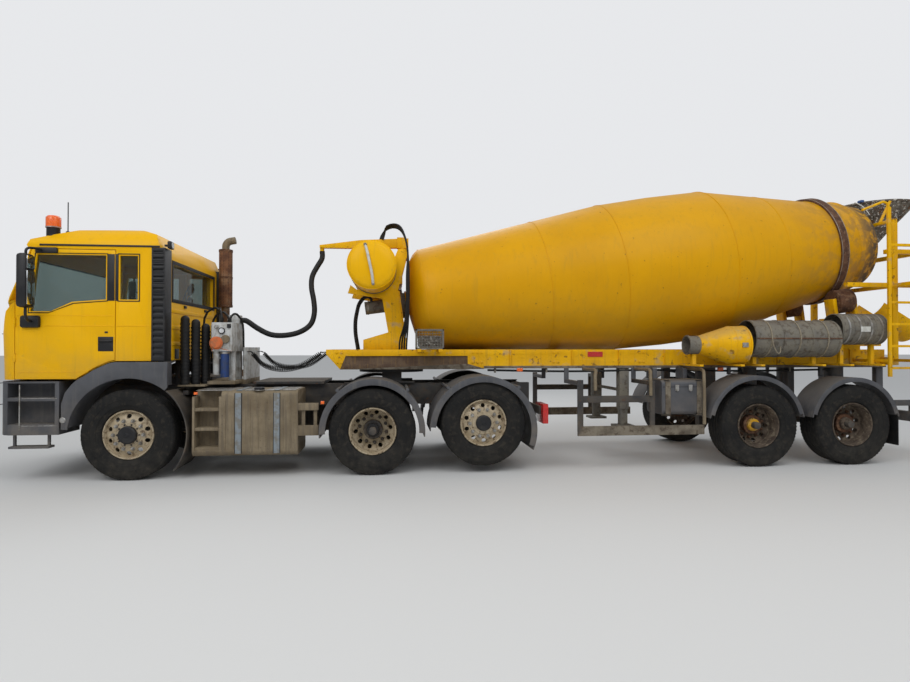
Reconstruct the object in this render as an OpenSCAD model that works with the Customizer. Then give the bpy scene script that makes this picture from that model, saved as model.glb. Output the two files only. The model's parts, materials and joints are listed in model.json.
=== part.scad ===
// Articulated concrete mixer lorry: three-axle tractor and two-axle mixer semi-trailer
// Lengths in millimetres. Stations run rearwards from the front axle, heights from the ground.
// The vehicle's left side is -Y, its front is -X.

/* [Overall] */
// Station of the front bumper's face
front_x = -1430; // [-1500:5:-1380]
// Station of the rearmost point
rear_x = 11000; // [10900:10:11200]
// Distance from the centre line to the outer face of the tyres
half_track = 1245; // [1235:1:1255]

/* [Wheels] */
// Radius of every tyre
tyre_r = 525; // [505:1:535]
// Width of the tractor's tyres
tyre_w = 315; // [295:1:320]
// Width of the trailer's tyres
wide_tyre_w = 385; // [355:1:390]
// Radius of the rim at its edge
rim_r = 288; // [280:1:292]
// Gap between the two tyres of a twin wheel
twin_gap = 34; // [25:1:45]
// Radius of the axle spindles
spindle_r = 45; // [35:1:50]
// Radial running clearance of the hubs on the spindles
hub_gap = 0.1; // [0.05:0.01:0.1]
// Radius of the circle of hand holes in the wheel discs
hand_circle_r = 215; // [210:1:220]
// Radius of one hand hole
hand_hole_r = 24; // [18:1:28]

/* [Axle stations] */
// Wheelbase from the front axle to the drive axle
wheelbase = 2800; // [2780:5:2830]
// Distance from the drive axle to the tag axle
tag_space = 1350; // [1340:5:1370]
// Height that the tag axle is lifted by
tag_lift = 85; // [60:5:110]
// Station of the first trailer axle
trailer_axle_x = 7740; // [7720:5:7760]
// Distance between the trailer axles
trailer_axle_space = 1310; // [1300:5:1320]
// Station of the kingpin
kingpin_x = 3030; // [3010:5:3050]

/* [Tractor frame] */
// Distance from the centre line to the outside of the rails
rail_out = 425; // [410:5:435]
// Height of the rails' top edge
rail_top = 1060; // [1040:5:1070]
// Depth of the rails
rail_h = 280; // [250:5:300]
// Width of the rails' flanges
rail_w = 70; // [60:5:80]
// Thickness of the rails' plate
rail_t = 10; // [8:1:12]
// Rear end of the rails
tractor_rear_x = 4900; // [4870:5:4920]
// Distance from the tyres' outer face to the steering pins
steer_inset = 385; // [375:5:395]
// Radius of the steering pins
steer_pin_r = 25; // [20:1:28]

/* [Cab] */
// Distance from the tyres' outer face to the cab's side
cab_inset = 30; // [25:5:40]
// Thickness of the cab's walls and doors
cab_wall = 70; // [50:5:75]
// Underside of the cab at the front
cab_low_z = 1168; // [1165:1:1175]
// Underside of the cab over the wheels
cab_sill_z = 1380; // [1375:5:1400]
// Height of the windscreen's lower edge
screen_low_z = 1740; // [1720:5:1760]
// Height of the windscreen's upper edge
screen_top_z = 2650; // [2630:5:2670]
// Height of the roof
roof_z = 2930; // [2900:5:2960]
// Radius of the roof's side edges
roof_edge_r = 220; // [160:5:230]
// Station of the cab's rear wall
cab_rear_x = 360; // [350:5:370]
// Station of the tilt pivot
tilt_x = -1370; // [-1380:5:-1365]
// Height of the tilt pivot
tilt_z = 950; // [940:5:960]
// Radius of the tilt pins
tilt_r = 20; // [15:1:24]
// Radius of the doors' hinge pins
hinge_r = 7; // [5:0.5:8]
// Radial running clearance of the doors' hinges and the tilt pins
hinge_gap = 0.2; // [0.1:0.05:0.3]
// Gap round the doors
door_gap = 8; // [6:1:12]
// Thickness of the window glass
glass_t = 8; // [5:1:10]
// Height of the bumper's top edge
bumper_top_z = 1148; // [1140:1:1150]
// Thickness of the bumper's face
bumper_wall = 60; // [50:5:70]
// Height of the bumper's lower edge
bumper_low_z = 540; // [500:5:560]
// Radius of the wheel arches about the front axle
arch_r = 655; // [650:1:670]

/* [Tractor equipment] */
// Front end of the fuel tank
tank_x = 714; // [700:2:740]
// Length of the fuel tank
tank_len = 1206; // [1150:2:1240]
// Height of the fuel tank
tank_h = 770; // [740:5:780]
// Width of the fuel tank
tank_w = 660; // [600:5:680]
// Radius of the fuel tank's edges
tank_edge_r = 70; // [50:2:90]
// Height of the fifth wheel's top face
coupling_z = 1250; // [1245:1:1255]
// Radius of the kingpin
kingpin_r = 25.4; // [25:0.1:26]
// Radius of the fifth wheel plate
plate_r = 450; // [430:5:470]
// Thickness of the mudguards' sheet
guard_t = 12; // [8:1:14]

/* [Trailer] */
// Half the width of the trailer frame
frame_half = 600; // [580:5:610]
// Width of one trailer rail
beam_w = 120; // [100:5:130]
// Height of the trailer rails' top face
beam_top_z = 1510; // [1505:1:1515]
// Front end of the trailer frame
trailer_front_x = 2180; // [2160:5:2200]
// Rear end of the trailer rails
trailer_rear_x = 10050; // [10030:5:10060]

/* [Drum] */
// Tilt of the drum's axis
drum_tilt = 7.7; // [7.4:0.1:8]
// Station of the drum's front plane on its axis
drum_x = 3350; // [3340:5:3360]
// Height of the drum's front plane on its axis
drum_z = 2180; // [2175:1:2190]
// Greatest radius of the drum
drum_r = 1080; // [1070:2:1085]
// Radius of the drum's mouth
mouth_r = 620; // [600:5:630]
// Length of the drum from its front plane to the mouth
drum_len = 6650; // [6600:5:6670]
// Thickness of the drum's wall
drum_wall = 12; // [8:1:14]
// Radius of the running ring
ring_r = 800; // [798:1:805]
// Width of the running ring
ring_w = 110; // [90:5:120]
// Distance of the running ring from the front plane
ring_s = 5950; // [5930:5:5970]
// Radius of the support rollers
roller_r = 170; // [160:1:175]
// Angle of the support rollers from the drum's bottom line
roller_angle = 35; // [33:0.5:37]
// Radius of the water tank
water_r = 300; // [280:5:310]

/* [Hopper and chute] */
// Height of the hopper's rim
hopper_z = 3830; // [3820:5:3850]
// Distance from the chute's pin to the hopper's rear rim
hopper_back = 600; // [500:10:640]
// Station of the chute's turning pin
chute_x = 10350; // [10340:5:10370]
// Height of the chute's tilting pin
chute_z = 1860; // [1855:5:1880]
// Radius of the chute's trough
trough_r = 250; // [230:5:255]
// Slope of the swing chute
chute_slope = 30; // [28:1:32]
// Height of the trough's axis over its tilting pin, square to the slope
chute_lift = 310; // [305:1:320]
// Length of the trough ahead of the pin
chute_lead = 160; // [140:5:170]
// Radius of the chute's turning pin
chute_pin_r = 30; // [25:1:32]
// Radius of the chute's tilting pin
tilt_pin_r = 18; // [15:1:20]

/* [Hidden] */

$fn = 96;
left = -1;
right = 1;
mid_x = (front_x + rear_x) / 2;
drive_x = wheelbase;
tag_x = wheelbase + tag_space;
tag_z = tyre_r + tag_lift;
trailer_axle2_x = trailer_axle_x + trailer_axle_space;
rail_low = rail_top - rail_h;
guard_half = half_track + 20;
steer_pin_y = half_track - steer_inset;
cab_half = half_track - cab_inset;
bumper_half = cab_half + 10;
gear_half = half_track - 45;
well_y = half_track - 425;
seat_gap = 0.3;
frame_front_x = -1240;
chute_len = chute_lead + (rear_x - chute_x - chute_lift * sin(chute_slope)) / cos(chute_slope);
yellow = "gold";
plastic = [0.20, 0.21, 0.23];
dark = [0.12, 0.12, 0.13];
grey = [0.45, 0.46, 0.46];
beige = [0.72, 0.68, 0.56];

// Moves stations to the part's origin below the middle of the vehicle
module at_truck() {
    translate([-mid_x, 0, 0]) children();
}

// Puts a piece on both sides of the centre line
module both_sides() {
    children();
    mirror([0, 1, 0]) children();
}

// Puts a piece that is drawn on the left on the side given
module on_side(side) {
    mirror([0, side > 0 ? 1 : 0, 0]) children();
}

// Box between two corners
module block(low, high) {
    translate(low) cube(high - low);
}

// Outline of stations and heights, thickened across the vehicle from y0 to y1
module slab(y0, y1, outline) {
    translate([0, y1, 0]) rotate([90, 0, 0]) linear_extrude(y1 - y0) polygon(outline);
}

// Round bar across the vehicle
module cross_bar(x, z, y0, y1, r) {
    translate([x, y1, z]) rotate([90, 0, 0]) cylinder(h = y1 - y0, r = r);
}

// Round bar along the vehicle
module long_bar(x0, x1, y, z, r) {
    translate([x0, y, z]) rotate([0, 90, 0]) cylinder(h = x1 - x0, r = r);
}

// Box along the vehicle with rounded long edges
module round_box(low, high, r) {
    size = high - low;
    translate([low[0], low[1] + r, low[2]]) cube([size[0], size[1] - 2 * r, size[2]]);
    translate([low[0], low[1], low[2] + r]) cube([size[0], size[1], size[2] - 2 * r]);
    for (y = [low[1] + r, high[1] - r], z = [low[2] + r, high[2] - r])
        long_bar(low[0], high[0], y, z, r);
}

// Arc of sheet over a wheel, between two angles from the rear horizontal
module arc_sheet(x, z, r, t, y0, y1, from, to) {
    translate([x, y1, z]) rotate([90, 0, 0]) linear_extrude(y1 - y0)
        difference() {
            intersection() {
                circle(r = r + t);
                polygon([[0, 0], for (a = [from : (to - from) / 8 : to + 0.01]) 2 * r * [cos(a), sin(a)]]);
            }
            circle(r = r);
        }
}

// Points of a sweep: direction at a point, one ring, and the whole tube
function unit(v) = v / norm(v);
function heading(p, i) = unit(p[min(i + 1, len(p) - 1)] - p[max(i - 1, 0)]);
function ring_points(p, i, r, n) = let (t = heading(p, i), a = unit(cross(t, [0, 1, 0])), b = cross(t, a))
    [for (k = [0 : n - 1]) p[i] + r * (cos(360 * k / n) * a + sin(360 * k / n) * b)];

module tube(p, r, n = 8) {
    last = len(p) - 1;
    walls = [for (i = [0 : last - 1], k = [0 : n - 1]) each [
        [i * n + k, (i + 1) * n + k, i * n + (k + 1) % n],
        [(i + 1) * n + k, (i + 1) * n + (k + 1) % n, i * n + (k + 1) % n]]];
    ends = [[for (k = [0 : n - 1]) k], [for (k = [n - 1 : -1 : 0]) last * n + k]];
    polyhedron([for (i = [0 : last]) each ring_points(p, i, r, n)], concat(walls, ends));
}

// Places children on the drum's axis, +Z towards the mouth
module on_drum_axis(s = 0) {
    translate([drum_x, 0, drum_z]) rotate([0, 90 - drum_tilt, 0]) translate([0, 0, s]) children();
}

// Tractor

module tractor_frame() {
    channel = [[rail_out, rail_low], [rail_out, rail_top], [rail_out - rail_w, rail_top],
        [rail_out - rail_w, rail_top - rail_t], [rail_out - rail_t, rail_top - rail_t],
        [rail_out - rail_t, rail_low + rail_t], [rail_out - rail_w, rail_low + rail_t],
        [rail_out - rail_w, rail_low]];
    color(dark) at_truck() {
        both_sides() translate([frame_front_x, 0, 0]) rotate([90, 0, 90])
            linear_extrude(tractor_rear_x - frame_front_x) polygon(channel);
        for (x = [frame_front_x, 900, 1900, 2350, 3550, tractor_rear_x - 90])
            block([x, 5 - rail_out, rail_low + 30], [x + 90, rail_out - 5, rail_top - 30]);
        both_sides() {
            // Stays of the bumper, and lugs with the cab's tilt pins
            block([front_x + bumper_wall, rail_w - rail_out, 850],
                [frame_front_x + 1, rail_w + 55 - rail_out, 950]);
            block([tilt_x - 30, -rail_out - 20, tilt_z - 40],
                [frame_front_x + 90, -rail_out + 1, tilt_z + 40]);
            cross_bar(tilt_x, tilt_z, -rail_out - 95, -rail_out, tilt_r);
            // Rear support of the cab
            block([250, -rail_out, rail_top - 1], [330, rail_w - rail_out, cab_sill_z]);
            // Splash guard behind the front wheel, on its arm
            arc_sheet(0, tyre_r, arch_r, guard_t, -half_track, -rail_out - 200, -39, 50);
            block([495, -880, 960], [560, 1 - rail_out, 1010]);
        }
        block([1250, -520, rail_top], [2150, 520, rail_top + 35]);
    }
}

module engine_block() {
    color(grey) at_truck() block([-420, rail_w - rail_out, 480], [690, rail_out - rail_w, cab_low_z - 8]);
}

module front_axle() {
    beam_z = tyre_r - 75;
    color(dark) at_truck() {
        block([-55, 120 - steer_pin_y, beam_z - 95], [55, steer_pin_y - 120, beam_z - 5]);
        both_sides() {
            translate([0, -steer_pin_y, beam_z - 60]) cylinder(h = 120, r = 45);
            block([-40, -steer_pin_y, beam_z - 60], [40, 125 - steer_pin_y, beam_z + 60]);
            translate([0, -steer_pin_y, beam_z - 110]) cylinder(h = 220, r = steer_pin_r);
            block([-800, -rail_out, beam_z + 60], [800, rail_w - rail_out, beam_z + 130]);
            block([-110, -rail_out - 25, beam_z - 96], [110, rail_w - rail_out, beam_z + 61]);
            for (x = [-800, 730])
                block([x, -rail_out + 5, beam_z + 129], [x + 70, 65 - rail_out, rail_low]);
        }
    }
}

module rear_axles() {
    inner_face = half_track - 2 * tyre_w - twin_gap;
    color(dark) at_truck() {
        cross_bar(drive_x, tyre_r, -inner_face + 20, inner_face - 20, 75);
        translate([drive_x, 0, tyre_r]) sphere(r = 215);
        cross_bar(drive_x, tyre_r, 40 - half_track, half_track - 40, spindle_r);
        cross_bar(tag_x, tag_z, -700, 700, 65);
        cross_bar(tag_x, tag_z, 60 - half_track, half_track - 60, spindle_r);
        both_sides() {
            for (a = [[drive_x, tyre_r], [tag_x, tag_z]]) {
                block([a[0] - 430, -rail_out, a[1] - 60], [a[0] + 430, 80 - rail_out, a[1] + 10]);
                block([a[0] - 430, -rail_out, a[1] + 9], [a[0] - 370, 80 - rail_out, rail_low]);
                translate([a[0] + 300, 40 - rail_out, a[1] + 9])
                    cylinder(h = rail_low - a[1] - 9, r = 110);
            }
        }
    }
}

// Front lamps: distances from the centre line
lamp_out = bumper_half - 215;
lamp_in = lamp_out - 250;

module front_bumper() {
    corner_r = 200;
    back_x = -745;
    step_zs = [660, 965];
    color(plastic) at_truck() {
        difference() {
            union() {
                block([front_x, corner_r - bumper_half, bumper_low_z],
                    [-1290, bumper_half - corner_r, bumper_top_z]);
                both_sides() {
                    translate([front_x + corner_r, corner_r - bumper_half, bumper_low_z])
                        cylinder(h = bumper_top_z - bumper_low_z, r = corner_r);
                    block([front_x + corner_r, -bumper_half, bumper_low_z],
                        [back_x, -lamp_in, bumper_top_z]);
                    block([front_x + 100, 125 - bumper_half, bumper_low_z],
                        [front_x + corner_r, -lamp_in, bumper_top_z]);
                }
            }
            // Cavity behind the face, open to the rear
            block([front_x + bumper_wall, 20 - lamp_in, bumper_low_z - 1],
                [-1200, lamp_in - 20, bumper_top_z + 1]);
            // Pockets for the cab's tilt lugs
            both_sides()
                block([front_x + 12, -rail_out - 105, 885], [-1300, 5 - rail_out, bumper_top_z + 1]);
            // Step wells in each side
            both_sides() for (z = step_zs)
                block([-1300, -bumper_half - 5, z],
                    [back_x - 45, -lamp_out, min(z + 265, bumper_top_z - 20)]);
            // Pockets for the lamps
            both_sides() block([front_x - 1, -lamp_out, 640], [front_x + bumper_wall, -lamp_in, 820]);
            translate([front_x - 1, 0, 700]) rotate([0, 90, 0]) cylinder(h = 80, r = 22);
        }
        both_sides() {
            // Low folding step on two hangers
            block([-1290, -cab_half, 385], [-860, 130 - cab_half, 410]);
            for (x = [-1270, -900])
                block([x, 55 - cab_half, 409], [x + 25, 85 - cab_half, bumper_low_z + 1]);
        }
    }
}

module tractor_lamps() {
    color([0.9, 0.9, 0.88]) at_truck() both_sides()
        block([front_x + 5, seat_gap - lamp_out, 640 + seat_gap],
            [front_x + bumper_wall - seat_gap, -lamp_in - seat_gap, 820 - seat_gap]);
    color("firebrick") at_truck() both_sides()
        block([tractor_rear_x, -gear_half, 590], [tractor_rear_x + 65, -well_y, 830]);
    color(dark) at_truck() both_sides()
        block([tractor_rear_x - 30, 100 - gear_half, 700], [tractor_rear_x - 1, -rail_out, 800]);
    color(dark) at_truck() both_sides()
        block([tractor_rear_x - 2, 100 - gear_half, 700], [tractor_rear_x + 1, -well_y, 800]);
}

module fuel_tank() {
    top = 260 + tank_h;
    tank_back = tank_x + tank_len;
    out = 15 - half_track;
    color(beige) at_truck() {
        difference() {
            round_box([tank_x, out, 260], [tank_back, out + tank_w, top], tank_edge_r);
            block([tank_x - 1, out - 1, 330], [tank_x + 330, out + 200, top + 1]);
        }
        for (z = [330, 560, 790])
            block([tank_x, out + 20, z], [tank_x + 331, out + 201, z + 35]);
        block([tank_x + 300, out + 5, 330], [tank_x + 331, out + 201, top - 70]);
        block([tank_x, out + 5, 330], [tank_x + 25, out + 201, top - 70]);
        for (x = [tank_x + 300, tank_back - 330]) {
            block([x, out + tank_w - 2, 520], [x + 80, -rail_out, 620]);
            block([x, -rail_out - 60, 520], [x + 80, -rail_out, rail_low + 40]);
        }
        for (z = [[490, 610], [790, 875]])
            block([tank_back - 100, out + 5, z[0]], [2160, out + 40, z[1]]);
        for (x = [tank_back + 40, 2100])
            block([x, out + 39, 560], [x + 40, out + 75, 830]);
    }
}

module battery_box() {
    color(plastic) at_truck() {
        block([1490, rail_out, 330], [2150, gear_half, 900]);
        for (y = [560, 860])
            long_bar(760, 1420, y, 320, 115);
        for (x = [840, 1340]) {
            block([x, rail_out, 300], [x + 40, 880, 340]);
            block([x, rail_out, 301], [x + 40, rail_out + 40, rail_low + 15]);
        }
    }
}

module exhaust() {
    stack_x = 505;
    stack_y = 960;
    duct_z = 1100;
    pipe_r = 55;
    bend_z = 3075;
    bend_r = 90;
    color([0.42, 0.32, 0.22]) at_truck() {
        block([720, 640, 480], [1420, gear_half + 10, 960]);
        for (x = [780, 1300])
            block([x, rail_out, 800], [x + 60, 641, 900]);
        translate([stack_x, stack_y, duct_z]) cylinder(h = 1100, r = pipe_r + 5);
        block([stack_x, stack_y - 55, duct_z], [800, stack_y + 55, duct_z + 100]);
        block([725, stack_y - 55, 959], [800, stack_y + 55, duct_z + 1]);
        // Heat shield, and the pipe that bends rearwards over it
        translate([stack_x, stack_y, 2150]) cylinder(h = 880, r = 98);
        translate([stack_x, stack_y, 2990]) cylinder(h = bend_z - 2989, r = pipe_r - 0.5);
        translate([stack_x + bend_r, stack_y, bend_z]) rotate([90, 0, 0]) rotate([0, 0, 100])
            rotate_extrude(angle = 80) translate([bend_r, 0]) circle(r = pipe_r);
        translate([stack_x + bend_r, stack_y, bend_z]) rotate([0, 80, 0])
            translate([-bend_r, 0, -1]) cylinder(h = 71, r = pipe_r - 0.5);
        block([580, rail_out, 960], [640, rail_out + 40, duct_z + 50]);
        block([580, rail_out, duct_z + 10], [640, stack_y - 54, duct_z + 50]);
    }
}

module hydraulic_unit() {
    shelf_z = rail_top + 20;
    tank = [[800, -780, 1490], [1050, -180, 1850]];
    color([0.62, 0.64, 0.64]) at_truck() {
        block([700, -rail_out, rail_top], [1130, rail_out, rail_top + 60]);
        block([1100, -rail_out + 5, rail_top + 59], [1130, rail_out - 5, 1540]);
        block([760, -800, shelf_z], [1090, 1 - rail_out, shelf_z + 39]);
        block(tank[0], tank[1]);
        // Valve block with the main hose's socket
        block([900, -430, tank[1][2] - 1], [1049, -270, tank[1][2] + 110]);
        for (y = [-640, -330])
            block([970, y, rail_top + 58], [1049, y + 60, tank[0][2] + 1]);
        // Filters below the tank
        translate([845, -730, 1195]) cylinder(h = 296, r = 38);
        translate([945, -715, 1165]) cylinder(h = 326, r = 52);
    }
    color("darkorange") at_truck() translate([865, -779, 1592]) rotate([90, 0, 0]) cylinder(h = 40, r = 80);
    // Air ducts behind the cab, on their shelf
    color(dark) at_truck() {
        block([440, -900, rail_top], [761, 40 - rail_out, shelf_z]);
        for (d = [[505, -840, 1880], [600, -740, 1840], [690, -640, 1790]]) {
            translate([d[0], d[1], shelf_z - 1]) cylinder(h = d[2] - shelf_z, r = 52);
            translate([d[0], d[1], d[2] - 1]) sphere(r = 52);
        }
    }
}

module fifth_wheel() {
    top = coupling_z - seat_gap;
    color(dark) at_truck() {
        difference() {
            translate([kingpin_x, 0, top - 45]) cylinder(h = 45, r = plate_r);
            translate([kingpin_x, 0, top - 60]) cylinder(h = 80, r = kingpin_r + seat_gap);
            slab_slot = [[kingpin_x, -kingpin_r - 1], [kingpin_x + plate_r + 9, -130],
                [kingpin_x + plate_r + 9, 130], [kingpin_x, kingpin_r + 1]];
            translate([0, 0, top - 60]) linear_extrude(80) polygon(slab_slot);
        }
        both_sides() block([kingpin_x - 130, -390, rail_top], [kingpin_x + 130, -300, top - 44]);
        block([kingpin_x - 300, -rail_out - 40, rail_top], [kingpin_x - 131, rail_out + 40, rail_top + 25]);
        block([kingpin_x - 300, -rail_out - 40, rail_top], [kingpin_x + 300, -299, rail_top + 25]);
        block([kingpin_x - 300, 299, rail_top], [kingpin_x + 300, rail_out + 40, rail_top + 25]);
    }
}

// Columns: axle station, centre height, inner radius, start and end angle
mudguard_table = [
    [drive_x, tyre_r, 621, -10, 190],
    [tag_x, tyre_r, 650, -26, 184]];

module tractor_mudguards() {
    color(plastic) at_truck() both_sides() for (g = mudguard_table) {
        inner = half_track - 2 * tyre_w - twin_gap - 20;
        arc_sheet(g[0], g[1], g[2], guard_t, -guard_half, -inner, g[3] + 4, g[4] - 4);
        arc_sheet(g[0], g[1], g[2] - 62, 63, -guard_half, guard_t - guard_half, g[3] + 8, g[4] - 8);
        for (a = [50, 130])
            cross_bar(g[0] + (g[2] + 30) * cos(a), g[1] + (g[2] + 30) * sin(a), -half_track, -rail_out, 21);
    }
}

// Cab

// Side outline of the cab, drawn in by a wall
function cab_outline(w) = [[front_x + w, cab_low_z + w], [front_x + w, screen_low_z - 120],
    [-1330 + w, screen_low_z], [-1010 + w, screen_top_z], [-970 + w, roof_z - 100 - 0.4 * w],
    [-600 + 0.5 * w, roof_z - 25 - w], [80, roof_z - w], [cab_rear_x - 70 - 1.6 * w, roof_z - 70 - w],
    [cab_rear_x - 2.4 * w, screen_top_z - w], [cab_rear_x - 2.4 * w, cab_sill_z + w],
    [-140 - 0.1 * w, cab_sill_z + w], [-215 - 0.2 * w, cab_sill_z - 15 + w],
    [-375 - 0.4 * w, cab_low_z + 125 + 0.9 * w], [-480 - 0.5 * w, cab_low_z + 55 + 0.9 * w],
    [-570 - 0.5 * w, cab_low_z + w]];

// Outline of a door, grown by a gap
function door_outline(g) = [[-1225 - g, cab_low_z + 8 - g], [-575 + g, cab_low_z + 8 - g],
    [-485 + 0.5 * g, cab_low_z + 64 - g], [-380 + 0.5 * g, cab_low_z + 135 - g],
    [-220 + 0.3 * g, cab_sill_z - 3 - g],
    [-150 + g, cab_sill_z + 12 - g], [-150 + g, screen_top_z + 10 + g],
    [-985 - 0.8 * g, screen_top_z + 10 + g], [-1225 - g, 1980 + 0.4 * g]];

// Outline of the door's window, drawn in by a gap
function door_window(g) = [[-1060 + g, 1950 + g], [-850, 1950 + g], [-620, 2060 + g], [-250 - g, 2090 + g],
    [-250 - g, 2600 - g], [-935 + 0.8 * g, 2600 - g], [-1060 + g, 2340 - 0.3 * g]];

// Outline of the small window behind the door
function side_window(g) = [[-100 + g, 2090 + g], [100 - g, 2090 + g], [100 - g, 2600 - g],
    [-100 + g, 2600 - g]];

module cab_plan(half, r, inset) {
    translate([0, 0, 1000]) linear_extrude(2200) union() {
        translate([front_x + inset + r, -half]) square([cab_rear_x - front_x, 2 * half]);
        translate([front_x + inset, r - half]) square([cab_rear_x - front_x, 2 * (half - r)]);
        for (y = [r - half, half - r])
            translate([front_x + inset + r, y]) circle(r = r);
    }
}

screen_lean = atan((1330 - 1010) / (screen_top_z - screen_low_z));
screen_h = 800;
screen_half = cab_half - 185;
notch_x = 250;
notch_y = cab_half - 215;
rear_window_half = notch_y - 150;

// Places children on the windscreen's plane, +X inwards through the glass
module on_screen() {
    translate([(-1330 - 1010) / 2, 0, (screen_low_z + screen_top_z) / 2 + 10])
        rotate([0, screen_lean, 0]) children();
}

// Heights of the doors' hinges, and the side lugs' height over and under each barrel
hinge_zs = [1420, 1820];
barrel_h = 60;
lug_h = 18;

// Places children on the left door's hinge line
module on_hinges() {
    for (z = hinge_zs)
        translate([-1230, -cab_half, z]) children();
}

// Arm from the cab's underside down to a tilt pin, below the bumper's edge at every tilt
module tilt_arm() {
    difference() {
        union() {
            slab(-rail_out - 80, -rail_out - 25, [[tilt_x - 10, tilt_z - 32], [tilt_x + 20, tilt_z + 26],
                [-1070, cab_low_z + 1], [-860, cab_low_z + 1], [-1000, 1040], [tilt_x + 60, tilt_z - 30]]);
            cross_bar(tilt_x, tilt_z, -rail_out - 80, -rail_out - 25, tilt_r + 14);
        }
        cross_bar(tilt_x, tilt_z, -rail_out - 90, -rail_out, tilt_r + hinge_gap);
    }
}

// Cross-section of the cab along the vehicle, with rounded roof edges
module cab_section(half, top, r) {
    translate([front_x - 10, 0, 0]) rotate([90, 0, 90]) linear_extrude(cab_rear_x - front_x + 20) union() {
        translate([-half, 1000]) square([2 * half, top - r - 1000]);
        translate([r - half, 1000]) square([2 * (half - r), top - 1000]);
        for (y = [r - half, half - r])
            translate([y, top - r]) circle(r = r);
    }
}

// The whole cab, not yet hollow
module cab_body() {
    intersection() {
        slab(-cab_half, cab_half, cab_outline(0));
        cab_plan(cab_half, 230, 0);
        cab_section(cab_half, roof_z, roof_edge_r);
    }
}

module cab_shell() {
    color(yellow) at_truck() {
        difference() {
            cab_body();
            intersection() {
                slab(cab_wall - cab_half, cab_half - cab_wall, cab_outline(cab_wall));
                cab_plan(cab_half - cab_wall, 180, cab_wall);
                cab_section(cab_half - cab_wall, roof_z - cab_wall, roof_edge_r - cab_wall);
            }
            slab(-cab_half - 1, cab_wall - cab_half, door_outline(door_gap));
            slab(cab_half - cab_wall, cab_half + 1, door_outline(door_gap));
            slab(-cab_half - 1, cab_half + 1, side_window(0));
            on_screen() translate([-60, -screen_half, -screen_h / 2]) cube([160, 2 * screen_half, screen_h]);
            block([100, -rear_window_half, 2120], [cab_rear_x + 1, rear_window_half, 2570]);
            block([front_x - 1, -760, 1230], [front_x + 35, 760, 1580]);
            both_sides() block([notch_x, -cab_half - 1, cab_sill_z - 1], [cab_rear_x + 1, -notch_y, 2700]);
            both_sides() on_hinges() translate([0, 0, -barrel_h / 2 - 1])
                cylinder(h = barrel_h + 2, r = 2 * hinge_r + 2);
        }
        both_sides() on_hinges() {
            translate([0, 0, -barrel_h / 2 - lug_h]) cylinder(h = barrel_h + 2 * lug_h, r = hinge_r);
            for (z = [-barrel_h / 2 - lug_h, barrel_h / 2 + 1])
                translate([0, 0, z]) cylinder(h = lug_h - 1, r = 2 * hinge_r);
        }
        both_sides() tilt_arm();
    }
}

module cab_glass() {
    g = seat_gap;
    color([0.55, 0.65, 0.62, 0.5]) at_truck() {
        on_screen() translate([20, g - screen_half, g - screen_h / 2])
            cube([glass_t, 2 * (screen_half - g), screen_h - 2 * g]);
        block([300, g - rear_window_half, 2120 + g], [300 + glass_t, rear_window_half - g, 2570 - g]);
        both_sides() slab(25 - cab_half, 25 + glass_t - cab_half, side_window(g));
    }
}

module grille() {
    g = seat_gap;
    color(dark) at_truck() difference() {
        block([front_x + 5, g - 760, 1230 + g], [front_x + 35 - g, 760 - g, 1580 - g]);
        for (z = [1260 : 65 : 1540])
            block([front_x, -700, z], [front_x + 22, 700, z + 35]);
    }
}

module cab_arches() {
    color(plastic) at_truck() both_sides() {
        difference() {
            slab(5 - half_track, -cab_half, [[-716, 600], [-716, 890], [-676, 1020], [-605, 1115],
                [-560, cab_low_z - 12], [-470, cab_low_z + 43], [-365, cab_low_z + 113],
                [-210, cab_sill_z - 27], [-140, cab_sill_z - 12], [440, cab_sill_z - 12],
                [440, 1075], [0, tyre_r]]);
            cross_bar(0, tyre_r, -half_track - 55, 145 - half_track, arch_r);
        }
        arc_sheet(0, tyre_r, arch_r, guard_t, -cab_half - 1, -well_y, 58, 172);
        block([-130, -cab_half - 1, 1170], [-80, -well_y, cab_sill_z - 12]);
        block([390, -cab_half - 1, 1100], [440, 115 - cab_half, cab_sill_z - 12]);
        block([-130, -well_y - 80, cab_sill_z - 13], [340, -well_y, cab_sill_z]);
        block([-130, 85 - cab_half, cab_sill_z - 13], [-80, -well_y, cab_sill_z]);
        block([300, 85 - cab_half, cab_sill_z - 80], [340, -well_y - 1, cab_sill_z]);
        block([300, -cab_half - 1, cab_sill_z - 80], [440, 115 - cab_half, cab_sill_z - 12]);
    }
}

module air_intake() {
    color(dark) at_truck() both_sides() {
        difference() {
            block([notch_x + seat_gap, -cab_half, cab_sill_z],
                [cab_rear_x + 40, -notch_y - seat_gap, 2700 - seat_gap]);
            for (z = [cab_sill_z + 60 : 70 : 2640])
                block([notch_x + 20, -cab_half - 1, z], [cab_rear_x + 20, 20 - cab_half, z + 30]);
        }
    }
}

module beacon() {
    r = 78;
    lamp_y = 125 - cab_half;
    color(dark) at_truck() difference() {
        translate([-890, lamp_y, roof_z - 120]) cylinder(h = 115, r = r - 8);
        cab_body();
    }
    color("orangered") at_truck() {
        translate([-890, lamp_y, roof_z - 5]) cylinder(h = 120, r = r);
        translate([-890, lamp_y, roof_z + 115]) cylinder(h = 20, r1 = r, r2 = r - 18);
    }
    color(dark) at_truck() difference() {
        translate([-730, lamp_y, roof_z - 80]) cylinder(h = 380, r = 6);
        cab_body();
    }
}

module seats() {
    color(plastic) at_truck() both_sides() {
        block([-520, -920, cab_sill_z + cab_wall], [-60, -400, 1561]);
        block([-560, -930, 1560], [-40, -390, 1700]);
        translate([-110, -930, 1690]) rotate([0, 12, 0]) cube([130, 540, 640]);
        translate([20, -780, 2300]) rotate([0, 12, 0]) cube([90, 240, 200]);
    }
}

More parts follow.
